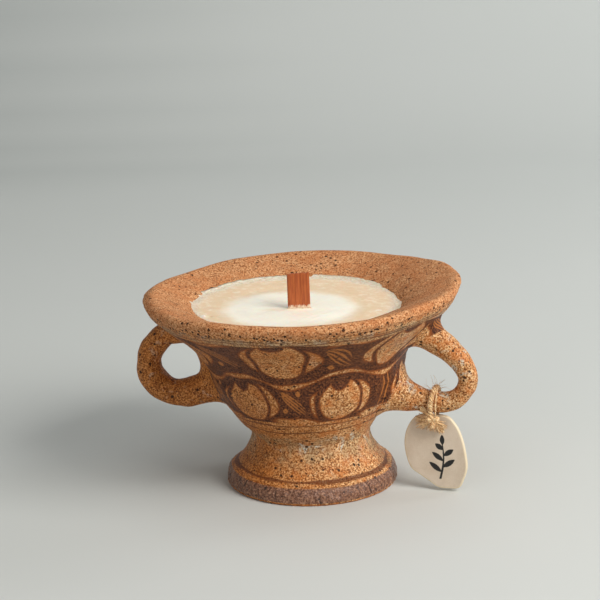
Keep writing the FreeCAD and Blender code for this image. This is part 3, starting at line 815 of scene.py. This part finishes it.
def make_tag():
    """Hand-cut plate between its hole and its outline, with rounded edges."""
    curve = smooth_curve(TAG_OUTLINE, 0.2, closed=True)
    outline = curve[np.linspace(0, len(curve), TAG_COLUMNS, endpoint=False).astype(int)]
    way = unit(np.roll(outline, -2, axis=0) - np.roll(outline, 2, axis=0))
    outward = np.stack([-way[:, 1], way[:, 0]], 1)
    spoke = unit(outline)
    inner, outer = spoke * (HOLE_RADIUS + HOLE_EDGE), outline - outward * TAG_EDGE
    wide = np.linalg.norm(outer - inner, axis=1)
    bends = np.radians(np.linspace(0, 90, 6))
    rows, gaps = [], []

    def add(flat, sunk, gap):
        rows.append(np.column_stack([flat, np.full(TAG_COLUMNS, sunk - TAG_THICK / 2)]))
        gaps.append(gap + np.zeros(TAG_COLUMNS))

    for b in bends:
        add(inner - spoke * HOLE_EDGE * math.cos(b), HOLE_EDGE * (1 - math.sin(b)), -FAR_OUT)
    for share in np.linspace(0, 1, TAG_ROWS)[1:-1]:
        add(inner + (outer - inner) * share, 0, TAG_EDGE + (1 - share) * wide)
    for b in bends[::-1]:
        out, sunk = TAG_EDGE * math.cos(b), TAG_EDGE * (1 - math.sin(b))
        add(outer + outward * out, sunk, TAG_EDGE - out)
    rows += [row * [1, 1, -1] for row in rows[::-1]]
    gaps += gaps[::-1]
    points = np.vstack(rows)
    faces = np.array(grid_faces(len(rows) + 1, TAG_COLUMNS)) % len(points)
    flat = points * [1, 1, 0]
    ink = np.where(points[:, 2] < 0, tag_ink(points[:, 0], points[:, 1]), FAR_OUT)
    points[:, 2] += 0.16 * ripple(flat, 60, 71) + 0.05 * ripple(flat, 15, 72)
    tag = make_object("hang_tag", tag_frame(points), faces)
    give(tag, ink=ink, edge_gap=np.concatenate(gaps))
    return tag


# ---------------- twine

TWINE_RADIUS = 1.3
BAR_RADIUS, BAR_GAP = 6.2, 0.4
LOOP_RADIUS = BAR_RADIUS + BAR_GAP + TWINE_RADIUS
KNOT_CENTRE = np.array([0.2, -4.7, -9.7])
BAR_CLEARANCE = 7.5  # frayed fibres stay this far from the bar's middle
KNOT_TOP = -7.4  # and those of the knot below this level, so that it can twist under the bar
PATH_STEP = 0.35
YARNS = 5


def hang_frame(points):
    """From the hanging frame (x along the bar, y to the back, z up) to the part's frame."""
    return HANG_POINT + points[:, :1] * BAR_WAY + points[:, 1:2] * TAG_BACK + points[:, 2:] * HANG_UP


def sides_of(path):
    """Length along a path, its direction and two side directions at each row."""
    way = unit(np.gradient(path, axis=0))
    side = unit(np.cross(way, [0.31, 0.05, 0.95]))
    return lengths_along(path), way, side, np.cross(side, way)


def resample(points, step):
    """Smooth even path through points in space."""
    length = lengths_along(points)
    return smooth_curve(np.column_stack([length, 0 * length, points]), step)[:, 2:]


def thread(path, radius, sides):
    """Closed tube of a changing radius round a path."""
    _, _, side, up = sides_of(path)
    radius = np.broadcast_to(radius, (len(path),))
    angle = np.linspace(0, 2 * math.pi, sides, endpoint=False)
    ring = side[:, None] * np.cos(angle)[:, None] + up[:, None] * np.sin(angle)[:, None]
    points = (path[:, None] + ring * radius[:, None, None]).reshape(-1, 3)
    faces = grid_faces(len(path), sides)
    faces.append(range(sides)[::-1])
    faces.append(range(len(points) - sides, len(points)))
    return points, faces


def joined(name, parts, seed):
    """One twine object from its yarns and fibres, each with a tone of its own."""
    rng = np.random.default_rng(seed)
    points, faces, tones, start = [], [], [], 0
    for p, f in parts:
        points.append(p)
        faces += [[i + start for i in face] for face in f]
        tones.append(np.full(len(p), rng.uniform()))
        start += len(p)
    twine = make_object(name, hang_frame(np.vstack(points)), faces)
    give(twine, tone=np.concatenate(tones))
    return twine


def around(side, up, angle):
    return side * np.cos(angle)[:, None] + up * np.sin(angle)[:, None]


def twisted(path, plies, ply_radius, offset, pitch, seed):
    """Plies wound round a path, each a bundle of finer yarns."""
    length, _, side, up = sides_of(path)
    rng = np.random.default_rng(seed)
    parts = []
    for p in range(plies):
        a = 2 * math.pi * (length / pitch + p / plies)
        middle = path + offset * around(side, up, a)
        for y in range(YARNS):
            b = 2 * math.pi * (length / (pitch * 0.8) + y / YARNS)
            yarn = middle + 0.5 * ply_radius * around(side, up, b)
            yarn = yarn + 0.05 * np.sin(length[:, None] * 2.1 + rng.uniform(0, 6, 3))
            parts.append(thread(yarn, ply_radius * 0.56, 7))
    return parts


def fuzz(path, count, reach, seed):
    """Fine loose fibres that stand off a cord and curl."""
    rng = np.random.default_rng(seed)
    _, way, side, up = sides_of(path)
    t = np.linspace(0, 1, 12)[:, None]
    parts = []
    for _ in range(count):
        i = rng.integers(2, len(path) - 2)
        a = rng.uniform(0, 2 * math.pi)
        outward = side[i] * math.cos(a) + up[i] * math.sin(a)
        heading = unit(outward * rng.uniform(0.3, 1) + way[i] * rng.normal() * 0.9)
        swing = unit(np.cross(heading, rng.normal(size=3)))
        length = reach * rng.uniform(0.2, 1) ** 1.5
        fibre = path[i] + outward * TWINE_RADIUS * 0.8 + heading * length * t
        fibre = fibre + swing * length * rng.uniform(-0.8, 0.8) * t ** 2
        fibre = fibre + 0.1 * rng.normal(size=3) * np.sin(t * 7)
        parts.append(thread(fibre, np.linspace(0.07, 0.04, len(fibre)), 4))
    return parts


def tuft(start, way, length, width, lift, count, seed):
    """Frayed end: coarse fibres that fan out over the tag's face, clear of the bar."""
    rng = np.random.default_rng(seed)
    way = unit(np.array(way))
    wide = unit(np.cross(way, [0, 1, 0]))
    t = np.linspace(0, 1, 14)[:, None]
    parts = []
    for _ in range(count):
        u, v = rng.uniform(-1, 1), rng.uniform(-1, 1)
        reach = length * rng.uniform(0.6, 1.0) * (1 - 0.2 * u * u)
        fibre = start + way * 1.2 + wide * u * 0.9 + [0, v * 0.9, 0] + way * reach * t
        fibre = fibre + wide * u * width * rng.uniform(0.7, 1.2) * t ** 1.3
        fibre = fibre + np.array([0, -0.9, 1.0]) * lift * np.sin(math.pi * t * 0.8)
        fibre = fibre + 0.16 * rng.normal(size=3) * np.sin(t * 7)
        clear_of_bar = -np.sqrt(np.maximum(BAR_CLEARANCE ** 2 - fibre[:, 2] ** 2, 0))
        clear_of_tag = -TAG_THICK / 2 - 0.4
        in_front = np.minimum(fibre[:, 1] + 0.8 * t[:, 0], clear_of_tag)
        fibre[:, 1] = np.minimum(in_front, clear_of_bar)
        parts.append(thread(fibre, np.linspace(0.34, 0.15, len(fibre)) * rng.uniform(0.7, 1.3), 5))
    return parts


def loop_path():
    """Cord over the bar, from behind the tag round to the knot, in the hanging frame."""
    rows = [(0.1, 3.0, -10.3), (0.0, 4.9, -7.0)]
    for degrees in np.linspace(-35, 215, 9):
        a = math.radians(degrees)
        rows.append((0.7 * math.sin(a * 1.3), LOOP_RADIUS * math.cos(a), LOOP_RADIUS * math.sin(a)))
    return np.array(rows + [(-0.5, -5.6, -7.0), (0.2, -4.7, -9.8)])


def spare_ply():
    """Thin single ply that has come away from the cord in front of the bar."""
    rows = [(0.9, 2.2, 7.6), (1.9, -2.6, 7.5), (2.5, -6.6, 4.4), (2.4, -8.0, 0.2),
            (2.3, -7.2, -4.2), (1.5, -5.2, -8.6)]
    return resample(rows, PATH_STEP)


def make_twine_loop():
    """Cord over the bar, with the ply that came away and the fibres that stand off it."""
    path = resample(loop_path(), PATH_STEP)
    over_bar = path[len(path) // 3:len(path) * 2 // 3]
    parts = twisted(path, 3, 0.86, 0.78, 7.0, 81) + twisted(spare_ply(), 1, 0.45, 0.08, 3.0, 83)
    parts += fuzz(path, 90, 3.2, 82) + fuzz(over_bar, 40, 10.5, 84)
    parts += tuft(KNOT_CENTRE + [-0.2, -1.9, 2.6], (-0.9, 0, 0.42), 7.4, 2.6, 0.0, 34, 86)
    return joined("twine_over_bar", parts, 85)


def knot_turns():
    """Cord wound into a small overhand knot on the tag's front."""
    t = np.linspace(0, 2 * math.pi, 130)
    x = 1.9 * (np.sin(t) + 0.55 * np.sin(2 * t))
    z = 2.1 * (np.cos(t) - 0.55 * np.cos(2 * t)) - 0.3
    return KNOT_CENTRE + np.stack([x, -0.7 - 0.8 * np.sin(3 * t), z], 1)


def make_twine_knot():
    """Cord through the tag's hole, its knot in front, and two frayed ends with a wisp between."""
    hole = np.dot(TAG_HOLE - HANG_POINT, HANG_UP)
    strand = resample([(0.1, 3.2, -9.6), (0.1, 2.95, hole + 1.2), (0.1, 1.5, hole), (0.1, -0.6, hole),
                       (0.2, -2.6, hole + 0.4), (0.3, -4.2, hole + 0.9)], 0.3)
    parts = twisted(strand, 3, 0.72, 0.62, 6.0, 91) + twisted(knot_turns(), 3, 0.8, 0.7, 5.0, 92)
    fibres = tuft(KNOT_CENTRE, (-0.97, 0, -0.24), 9.6, 4.2, 0.6, 66, 93)
    fibres += tuft(KNOT_CENTRE, (0.74, 0, -0.67), 8.4, 3.2, 0.4, 54, 94)
    fibres += tuft(KNOT_CENTRE, (-0.45, 0, -0.89), 6.0, 2.4, 0.2, 24, 96)
    fibres += fuzz(knot_turns(), 90, 5.0, 95)
    parts += [fibre for fibre in fibres if fibre[0][:, 2].max() < KNOT_TOP]
    return joined("twine_knot_frayed", parts, 97)


# ---------------- materials

# Heights on the upright cup between which each look holds.
NECK_ASH, NECK_GLAZE = (15.0, 39.0), (24.0, 37.0)
RIM_ASH, RIM_GLAZE = (100.0, 107.0), (100.0, 109.0)
BARE_RIM, SPECKLED_LIP = (106.4, 108.6), (103, 107)
DARK_FOOT, WORN_EDGE = (1.3, 9.6), (0.6, 1.2)


def paint(red, green, blue):
    """Scene colour from a 0-255 display colour."""
    def linear(c):
        c = c / 255
        return c / 12.92 if c <= 0.04045 else ((c + 0.055) / 1.055) ** 2.4
    return (linear(red), linear(green), linear(blue), 1.0)


class Recipe:
    """Short ways to wire a node material. Lengths are in millimetres."""

    def __init__(self, name):
        self.material = bpy.data.materials.new(name)
        self.material.use_nodes = True
        self.tree = self.material.node_tree
        self.tree.nodes.clear()
        place = self.node("TexCoord").outputs["Object"]
        scaled = self.node("VectorMath", {0: place, "Scale": 1 / MM}, operation="SCALE")
        self.place = scaled.outputs[0]

    def node(self, kind, inputs=None, **settings):
        """A new node with its settings made and its inputs linked or filled in."""
        node = self.tree.nodes.new("ShaderNode" + kind)
        for name, value in settings.items():
            setattr(node, name, value)
        for name, value in (inputs or {}).items():
            if isinstance(value, bpy.types.NodeSocket):
                self.tree.links.new(value, node.inputs[name])
            else:
                node.inputs[name].default_value = value
        return node

    def math(self, operation, a, b, clamp=False):
        return self.node("Math", {0: a, 1: b}, operation=operation, use_clamp=clamp).outputs[0]

    def times(self, a, *more):
        for b in more:
            a = self.math("MULTIPLY", a, b)
        return a

    def plus(self, a, *more):
        for b in more:
            a = self.math("ADD", a, b)
        return a

    def inverse(self, value):
        return self.math("SUBTRACT", 1.0, value)

    def number(self, name):
        return self.node("Attribute", attribute_name=name).outputs["Fac"]

    def stretch(self, x, y, z):
        return self.node("VectorMath", {0: self.place, 1: (x, y, z)}, operation="MULTIPLY").outputs[0]

    def noise(self, size, detail=3.0, rough=0.55, at=None, twist=0.0):
        """Soft noise, 0 to 1, whose features are about size millimetres."""
        inputs = {"Vector": at or self.place, "Scale": 1 / size, "Detail": detail}
        inputs.update({"Roughness": rough, "Distortion": twist})
        return self.node("TexNoise", inputs).outputs["Fac"]

    def step(self, value, low, high):
        """0 below low, 1 above high, smooth between."""
        inputs = {"Value": value, "From Min": low, "From Max": high}
        return self.node("MapRange", inputs, interpolation_type="SMOOTHSTEP").outputs["Result"]

    def below(self, value, low, high):
        """1 below low, 0 above high, smooth between."""
        return self.inverse(self.step(value, low, high))

    def between(self, value, low, high, soft):
        """1 where value lies between low and high, with soft ends."""
        return self.times(self.step(value, low, low + soft), self.below(value, high - soft, high))

    def patches(self, size, detail, rough, low, high):
        """Noise cut to soft patches."""
        return self.step(self.noise(size, detail, rough), low, high)

    def fray(self, amount, size, detail, rough):
        """Noise about zero, which roughens an outline by up to half the amount."""
        return self.times(self.math("SUBTRACT", self.noise(size, detail, rough), 0.5), amount)

    def ragged(self, name, amount, size=1.2):
        """A pattern distance whose outline is frayed by the grain of the clay."""
        return self.plus(self.number(name), self.fray(amount, size, 4, 0.7))

    def spots(self, spacing, soft, largest, share, at=None):
        """Round marks of mixed sizes. The share is that of the cells that hold one."""
        cells = self.node("TexVoronoi", {"Vector": at or self.place, "Scale": 1 / spacing})
        pick = self.node("SeparateColor", {0: cells.outputs["Color"]}).outputs[0]
        radius = self.times(self.step(pick, 1 - share, 1.0), largest)
        inside = self.math("SUBTRACT", radius, self.times(cells.outputs["Distance"], spacing))
        inside = self.plus(inside, self.fray(largest * 0.9, largest * 0.8, 3.0, 0.55))
        return self.step(inside, 0.0, soft)

    def grains(self, size, dark, middle, light):
        """Gritty clay: dark, middle and light grains of about size millimetres."""
        grain = self.noise(size, 4, 0.72)
        shares = self.step(grain, 0.4, 0.48), self.step(grain, 0.5, 0.6)
        return self.layers(dark, (shares[0], middle), (shares[1], light)), grain

    def mix(self, share, a, b):
        return self.node("Mix", {0: share, 6: a, 7: b}, data_type="RGBA").outputs[2]

    def layers(self, colour, *over):
        """Colours laid one over another, each by its own share."""
        for share, top in over:
            colour = self.mix(share, colour, top)
        return colour

    def blend_numbers(self, share, a, b):
        return self.node("Mix", {0: share, 2: a, 3: b}, data_type="FLOAT").outputs[0]

    def finish(self, colour, rough, height=None, depth=0.0, **more):
        """The material, with bumps of height times depth millimetres."""
        inputs = {"Base Color": colour, "Roughness": rough}
        inputs.update({name.replace("_", " "): value for name, value in more.items()})
        if height is not None:
            bump = self.node("Bump", {"Strength": 1.0, "Distance": depth * MM, "Height": height})
            inputs["Normal"] = bump.outputs[0]
        self.node("OutputMaterial", {"Surface": self.node("BsdfPrincipled", inputs).outputs[0]})
        return self.material


def clay_ground(r, height, turn):
    """Speckled clay: greyer at the neck, warmer in painted shade, with pale ash glaze gathered on it,
    more on the lit side as painted sheen.
    """
    # Painted shade: sunny marks the side facing the key light, and away from it the clay takes the
    # warmer, darker shade colour.
    sunny = r.step(turn, -70, 60)
    ground, grain = r.grains(1.0, paint(104, 54, 24), paint(200, 138, 80), paint(246, 208, 158))
    shade = r.mix(r.step(grain, 0.38, 0.62), paint(122, 60, 16), paint(214, 136, 62))
    ash = r.mix(r.step(grain, 0.38, 0.6), paint(122, 90, 54), paint(200, 176, 136))
    ashy = r.math("MAXIMUM", r.between(height, *NECK_ASH, 7.0), r.between(height, *RIM_ASH, 2.0))
    right_more = r.plus(r.times(r.step(turn, 0, 40), 0.65), 0.35)
    on_handle = r.times(r.below(r.number("root"), -4.0, 2.0), right_more)
    pale = r.times(r.plus(r.between(height, *NECK_GLAZE, 4.0), on_handle), 0.85)
    pale = r.math("MAXIMUM", pale, r.times(r.between(height, *RIM_GLAZE, 2.0), 0.2))
    # Painted sheen: the pale patches are added more on the side lit by the key light, on top of the
    # real glaze.
    pale = r.math("ADD", pale, r.times(sunny, 0.3), clamp=True)
    gathered = r.step(r.noise(8, 5, 0.7, twist=0.7), 0.54, 0.66)
    ground = r.layers(
        ground,
        (r.times(r.patches(9, 4, 0.6, 0.46, 0.62), 0.55), paint(204, 116, 50)),
        (r.times(r.inverse(sunny), 0.85), shade),
        (r.times(ashy, r.patches(10, 3, 0.6, 0.4, 0.6), 0.6), ash),
        (r.times(gathered, r.patches(1.0, 3, 0.7, 0.36, 0.56), pale), paint(206, 206, 192)))
    return ground, grain


def brushed_band(r, ground):
    """Dark slip brushed round the light shapes, the thin brown lines, and the band's share."""
    light = r.ragged("light", 0.9)
    clear = r.step(r.ragged("root", 1.4), 0.4, 1.4)
    band = r.times(r.step(r.ragged("band", 0.8), -0.2, 0.35), clear)
    lines = r.times(r.step(r.ragged("lines", 0.5), -0.3, 0.3), clear)
    slip = r.layers(
        r.grains(1.1, paint(42, 19, 10), paint(88, 46, 25), paint(138, 84, 48))[0],
        (r.times(r.patches(9, 4, 0.6, 0.45, 0.65), 0.4), paint(108, 62, 40)),
        (r.times(r.step(r.ragged("marks", 0.7), -0.25, 0.3), 0.85), paint(190, 118, 58)),
        (r.step(light, -0.9, -0.1), paint(142, 76, 32)),
        (r.step(light, -0.15, 0.45), ground))
    return r.layers(ground, (band, slip), (r.times(lines, 0.8), paint(100, 50, 26))), band


def stoneware():
    """The whole cup: painted band, bare rim and foot edge, dark foot band, speckled handles."""
    r = Recipe("stoneware_painted")
    height, turn, inner = r.ragged("upright_z", 1.1), r.number("turn"), r.number("inner")
    ground, grain = clay_ground(r, height, turn)
    colour, band = brushed_band(r, ground)

    bare = r.math("MAXIMUM", r.step(height, *BARE_RIM), inner)
    rim = r.layers(
        r.grains(1.0, paint(134, 76, 38), paint(204, 141, 92), paint(232, 182, 134))[0],
        (r.times(r.patches(13, 4, 0.6, 0.42, 0.62), 0.4), paint(190, 112, 60)),
        (r.times(r.patches(4, 4, 0.65, 0.5, 0.64), 0.35), paint(160, 108, 72)))
    on_lip = r.times(r.step(height, *SPECKLED_LIP), r.inverse(inner))
    foot = r.between(r.ragged("upright_z", 0.7), *DARK_FOOT, 0.5)
    skin = r.grains(1.1, paint(90, 53, 34), paint(126, 82, 58), paint(172, 128, 100))[0]
    worn = r.below(r.ragged("upright_z", 2.2, 2.6), *WORN_EDGE)
    small_iron = r.spots(1.25, 0.2, 0.56, 0.6)
    large_iron = r.spots(2.9, 0.3, 1.05, 0.36)
    colour = r.layers(
        colour,
        (bare, rim),
        (r.times(r.spots(1.8, 0.25, 1.0, 0.72), on_lip), paint(50, 26, 14)),
        (foot, skin),
        # Painted shade: the foot band's cracks are darkened as the shade inside them.
        (r.times(r.step(r.number("crack"), 0.12, 0.4), 0.8), paint(52, 28, 18)),
        (worn, r.mix(grain, paint(140, 70, 28), paint(214, 132, 70))),
        (r.times(small_iron, 0.8), paint(74, 36, 16)),
        (r.times(large_iron, 0.92), paint(50, 27, 16)))

    relief = r.plus(
        r.times(r.noise(0.8, 4, 0.7), 0.9),
        r.times(r.noise(3.0, 3, 0.6), 0.6),
        r.times(r.math("MAXIMUM", small_iron, large_iron), -0.7),
        r.times(band, 0.12),
        r.times(foot, r.noise(1.6, 3, 0.6), 0.5))
    rough = r.blend_numbers(bare, r.blend_numbers(foot, 0.5, 0.3), 0.85)
    rough = r.math("ADD", rough, r.times(r.math("SUBTRACT", grain, 0.5), 0.3), clamp=True)
    return r.finish(colour, rough, relief, 0.4, Specular_IOR_Level=r.blend_numbers(foot, 0.22, 0.6))


def wax_finish():
    """Cream wax, whiter in the middle, frosted at its edge, with a singed crust at the wick."""
    r = Recipe("cream_wax")
    melt, reach = r.ragged("melt", 9, 12), r.number("reach")
    crust = r.ragged("wick_gap", 1.6, 1.0)
    frost = r.times(r.step(r.ragged("reach", 7, 8), 51, 57), r.patches(1.3, 4, 0.75, 0.38, 0.56))
    flecks = r.spots(7.0, 0.3, 1.5, 0.7, at=r.stretch(0.5, 1, 0.02))
    colour = r.layers(
        paint(253, 247, 231),
        (r.step(melt, 31, 43), paint(236, 208, 172)),
        (r.times(r.below(r.number("stain"), 0.0, 1.3), 0.4), paint(222, 184, 136)),
        (r.times(r.patches(5, 5, 0.7, 0.46, 0.66), 0.6, r.step(melt, 36, 45)), paint(251, 238, 216)),
        (r.times(frost, 0.85), paint(250, 238, 218)),
        (r.times(flecks, r.between(reach, 44, 57, 3)), paint(252, 246, 234)),
        (r.times(r.below(r.number("bead"), 1.0, 1.9), 0.9), paint(253, 248, 238)),
        # Painted shade: the pit in the wax is darkened as the shade inside it.
        (r.times(r.below(r.number("pit"), 0.5, 1.5), 0.5), paint(190, 140, 84)),
        (r.times(r.below(crust, 0.5, 1.8), 0.7), paint(246, 226, 196)),
        (r.times(r.below(crust, 0.1, 0.6), 0.8), paint(170, 112, 62)))
    relief = r.plus(r.noise(9, 3, 0.5), r.times(r.noise(1.0, 3, 0.6), 0.2), r.times(frost, 0.8))
    return r.finish(colour, r.blend_numbers(r.noise(5, 3), 0.4, 0.6), relief, 0.3,
                    Subsurface_Weight=0.2, Subsurface_Scale=0.004)


def wood_finish():
    """Reddish wood with grain up the strip and a white crust just above the wax."""
    r = Recipe("wick_wood")
    grain = r.noise(0.9, 4, 0.65, at=r.stretch(1, 1, 0.07))
    pores = r.noise(0.35, 2, 0.6, at=r.stretch(1, 1, 0.12))
    crust = r.below(r.plus(r.number("above_wax"), r.fray(5.0, 1.6, 3, 0.7)), 1.1, 2.4)
    colour = r.layers(
        paint(156, 74, 32),
        (r.step(grain, 0.35, 0.68), paint(184, 97, 45)),
        (r.times(r.step(pores, 0.6, 0.74), 0.3), paint(206, 132, 78)),
        (r.times(crust, 0.85), paint(238, 220, 194)))
    return r.finish(colour, 0.6, r.plus(grain, r.times(pores, 0.5)), 0.12)


def tag_finish():
    """Pale fired clay with a painted highlight along its edge, a few specks and glossy black ink."""
    r = Recipe("pale_clay_ink")
    ink = r.step(r.ragged("ink", 0.5, 0.8), -0.1, 0.14)
    colour = r.layers(
        paint(220, 204, 184),
        (r.patches(14, 4, 0.6, 0.35, 0.7), paint(208, 190, 168)),
        (r.times(r.patches(0.8, 3, 0.6, 0.5, 0.75), 0.3), paint(236, 224, 206)),
        # Painted highlight: the rounded edge is painted lighter, as if catching the key light.
        (r.times(r.below(r.ragged("edge_gap", 0.5), 0.5, 1.3), 0.6), paint(236, 220, 184)),
        (r.times(r.spots(3.5, 0.12, 0.3, 0.45), 0.5), paint(140, 112, 86)),
        (ink, paint(22, 20, 19)))
    relief = r.plus(r.noise(4, 3), r.times(r.noise(0.6, 3), 0.4))
    return r.finish(colour, r.blend_numbers(ink, 0.55, 0.3), relief, 0.15)


def jute_finish():
    r = Recipe("jute")
    colour = r.layers(
        paint(206, 152, 92),
        (r.patches(1.0, 4, 0.7, 0.34, 0.62), paint(255, 226, 176)),
        (r.times(r.step(r.number("tone"), 0.4, 1.0), 0.6), paint(160, 106, 56)),
        (r.times(r.patches(4, 2, 0.55, 0.5, 0.7), 0.35), paint(222, 172, 112)))
    return r.finish(colour, 0.85, r.noise(0.25, 2, 0.6), 0.08, Sheen_Weight=0.4)


def tin_finish():
    r = Recipe("tin_sheet")
    streak = r.noise(0.5, 3, 0.6, at=r.stretch(0.1, 1, 1))
    colour = r.mix(streak, paint(176, 176, 180), paint(204, 204, 206))
    return r.finish(colour, r.blend_numbers(streak, 0.25, 0.45), streak, 0.02, Metallic=1.0)


def sticker_finish():
    r = Recipe("foam_sticker")
    pores = r.noise(0.4, 3, 0.6)
    return r.finish(r.mix(pores, paint(214, 214, 208), paint(240, 240, 236)), 0.8, pores, 0.1)


# ---------------- scene

CAMERA_LENS, CAMERA_SENSOR = 120, 36
CAMERA_RISE = math.radians(15.24)
CAMERA_ROLL = math.radians(-1.53)
CAMERA_FAR = 1113.8
CAMERA_AIM = np.array([-4.46, 0, 104.45])

# Metres, watts: a large key from the right, a weak fill, a soft top light, and a wash on the
# right of the backdrop. Rows: name, place, aim, size, power, colour.
LIGHTS = [
    ("key", (1.05, -0.8, 1.05), (0, 0, 0.05), (0.9, 0.9), 26, (1.0, 0.97, 0.93)),
    ("fill", (-0.9, -1.1, 0.7), (0, 0, 0.06), (1.0, 0.9), 2.3, (1.0, 0.94, 0.86)),
    ("top", (-0.15, -0.05, 1.6), (-0.1, 0.0, 0), (1.2, 1.2), 3.1, (1.0, 0.99, 0.97)),
    ("wash", (1.35, 0.55, 0.9), (0.55, 1.4, 0.45), (0.6, 0.8), 7.6, (0.95, 0.98, 1.0)),
]
ROOM_LIGHT, ROOM_COLOUR = 0.25, (0.88, 0.88, 0.87, 1)
FLOOR_FRONT, FLOOR_BACK, WALL_TOP, FLOOR_BEND, FLOOR_WIDTH = -1.6, 0.9, 1.6, 0.5, 1.8


def placed(name, data):
    thing = bpy.data.objects.new(name, data)
    bpy.context.scene.collection.objects.link(thing)
    return thing


def make_camera():
    """Long lens, a little above the rim and rolled slightly."""
    data = bpy.data.cameras.new("studio_camera")
    data.lens, data.sensor_width = CAMERA_LENS, CAMERA_SENSOR
    back = Vector((0, -math.cos(CAMERA_RISE), math.sin(CAMERA_RISE)))
    right = Vector((1, 0, 0))
    up = back.cross(right)
    c, s = math.cos(CAMERA_ROLL), math.sin(CAMERA_ROLL)
    axes = Matrix((c * right + s * up, c * up - s * right, back)).transposed().to_4x4()
    camera = placed("studio_camera", data)
    camera.matrix_world = Matrix.Translation(Vector(CAMERA_AIM * MM) + back * CAMERA_FAR * MM) @ axes
    bpy.context.scene.camera = camera


def make_stage():
    """Pale floor that curves up into a backdrop behind the cup, with painted shade making it a little
    darker on the left.
    """
    profile = [(FLOOR_FRONT, 0.0), (0.0, 0.0), (FLOOR_BACK, 0.0)]
    for a in np.radians(range(10, 91, 10)):
        profile.append((FLOOR_BACK + FLOOR_BEND * math.sin(a), FLOOR_BEND * (1 - math.cos(a))))
    profile.append((FLOOR_BACK + FLOOR_BEND, WALL_TOP))
    points = np.array([(x, y, z) for y, z in profile for x in (-FLOOR_WIDTH, FLOOR_WIDTH)]) / MM
    faces = [(2 * i, 2 * i + 1, 2 * i + 3, 2 * i + 2) for i in range(len(profile) - 1)]
    sweep = make_object("backdrop", points, faces)
    way_back = (points[:, 1] + points[:, 2]) * MM / (FLOOR_BACK + FLOOR_BEND)
    give(sweep, side=points[:, 0] * np.clip(way_back, 0, 1))
    r = Recipe("backdrop_grey")
    pale = r.mix(r.noise(400, 2), paint(203, 207, 204), paint(209, 212, 210))
    # Painted shade: the left of the backdrop is painted darker, as if less light reached it.
    colour = r.mix(r.step(r.number("side"), -520, 60), paint(182, 187, 185), pale)
    sweep.data.materials.append(r.finish(colour, 0.9))


def make_lights():
    scene = bpy.context.scene
    for name, place, aim, size, power, colour in LIGHTS:
        data = bpy.data.lights.new(name, "AREA")
        data.shape = "RECTANGLE"
        data.size, data.size_y = size
        data.energy, data.color = power, colour
        light = placed(name, data)
        light.location = place
        light.rotation_euler = (Vector(aim) - Vector(place)).to_track_quat("-Z", "Y").to_euler()
    scene.world = bpy.data.worlds.new("studio")
    scene.world.use_nodes = True
    background = scene.world.node_tree.nodes["Background"]
    background.inputs["Color"].default_value = ROOM_COLOUR
    background.inputs["Strength"].default_value = ROOM_LIGHT
    scene.view_settings.view_transform = "Standard"


# ---------------- build

# Heights in the hanging frame between which the cord passes from the loop to the knot.
BLEND_HIGH, BLEND_LOW = -3.0, -9.0


def on_cord(height):
    return tuple(hang_frame(np.array([[0, 0, height]]))[0] * MM)


def build():
    cup = CupField()
    left, left_tube = make_handle("left_handle_clay", left_paths(), cup)
    right, right_tube = make_handle("right_handle_clay", right_paths(), cup)
    tubes = [left_tube, right_tube]
    clay, jute = stoneware(), jute_finish()
    pieces = [
        (left, clay, "vessel", "left_handle", "stoneware"),
        (right, clay, "vessel", "right_handle", "stoneware"),
        (make_bowl(tubes), clay, "vessel", "bowl", "stoneware"),
        (make_foot(tubes), clay, "vessel", "pedestal_foot", "stoneware"),
        (make_wax(), wax_finish(), "vessel", "candle_wax", "wax"),
        (make_wick(), wood_finish(), "vessel", "wick", "wick_wood"),
        (make_tag(), tag_finish(), "tag", "tag", "porcelain"),
        (make_twine_knot(), jute, "twine_knot", "twine_knot", "jute"),
        (make_twine_loop(), jute, None, "twine_loop", "jute"),
    ]
    for thing, material, body, node, slot in pieces:
        thing.data.materials.append(material)
        if body:
            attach(thing, body)
        else:
            on_cord(BLEND_HIGH)
            on_cord(BLEND_LOW)
            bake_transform(thing)
        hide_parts(node)
    for node, material in (("wick_clip", tin_finish()), ("wick_sticker", sticker_finish())):
        mesh = frame["nodes"][node].data
        mesh.materials.clear()
        mesh.materials.append(material)


build()
make_stage()
make_lights()
make_camera()
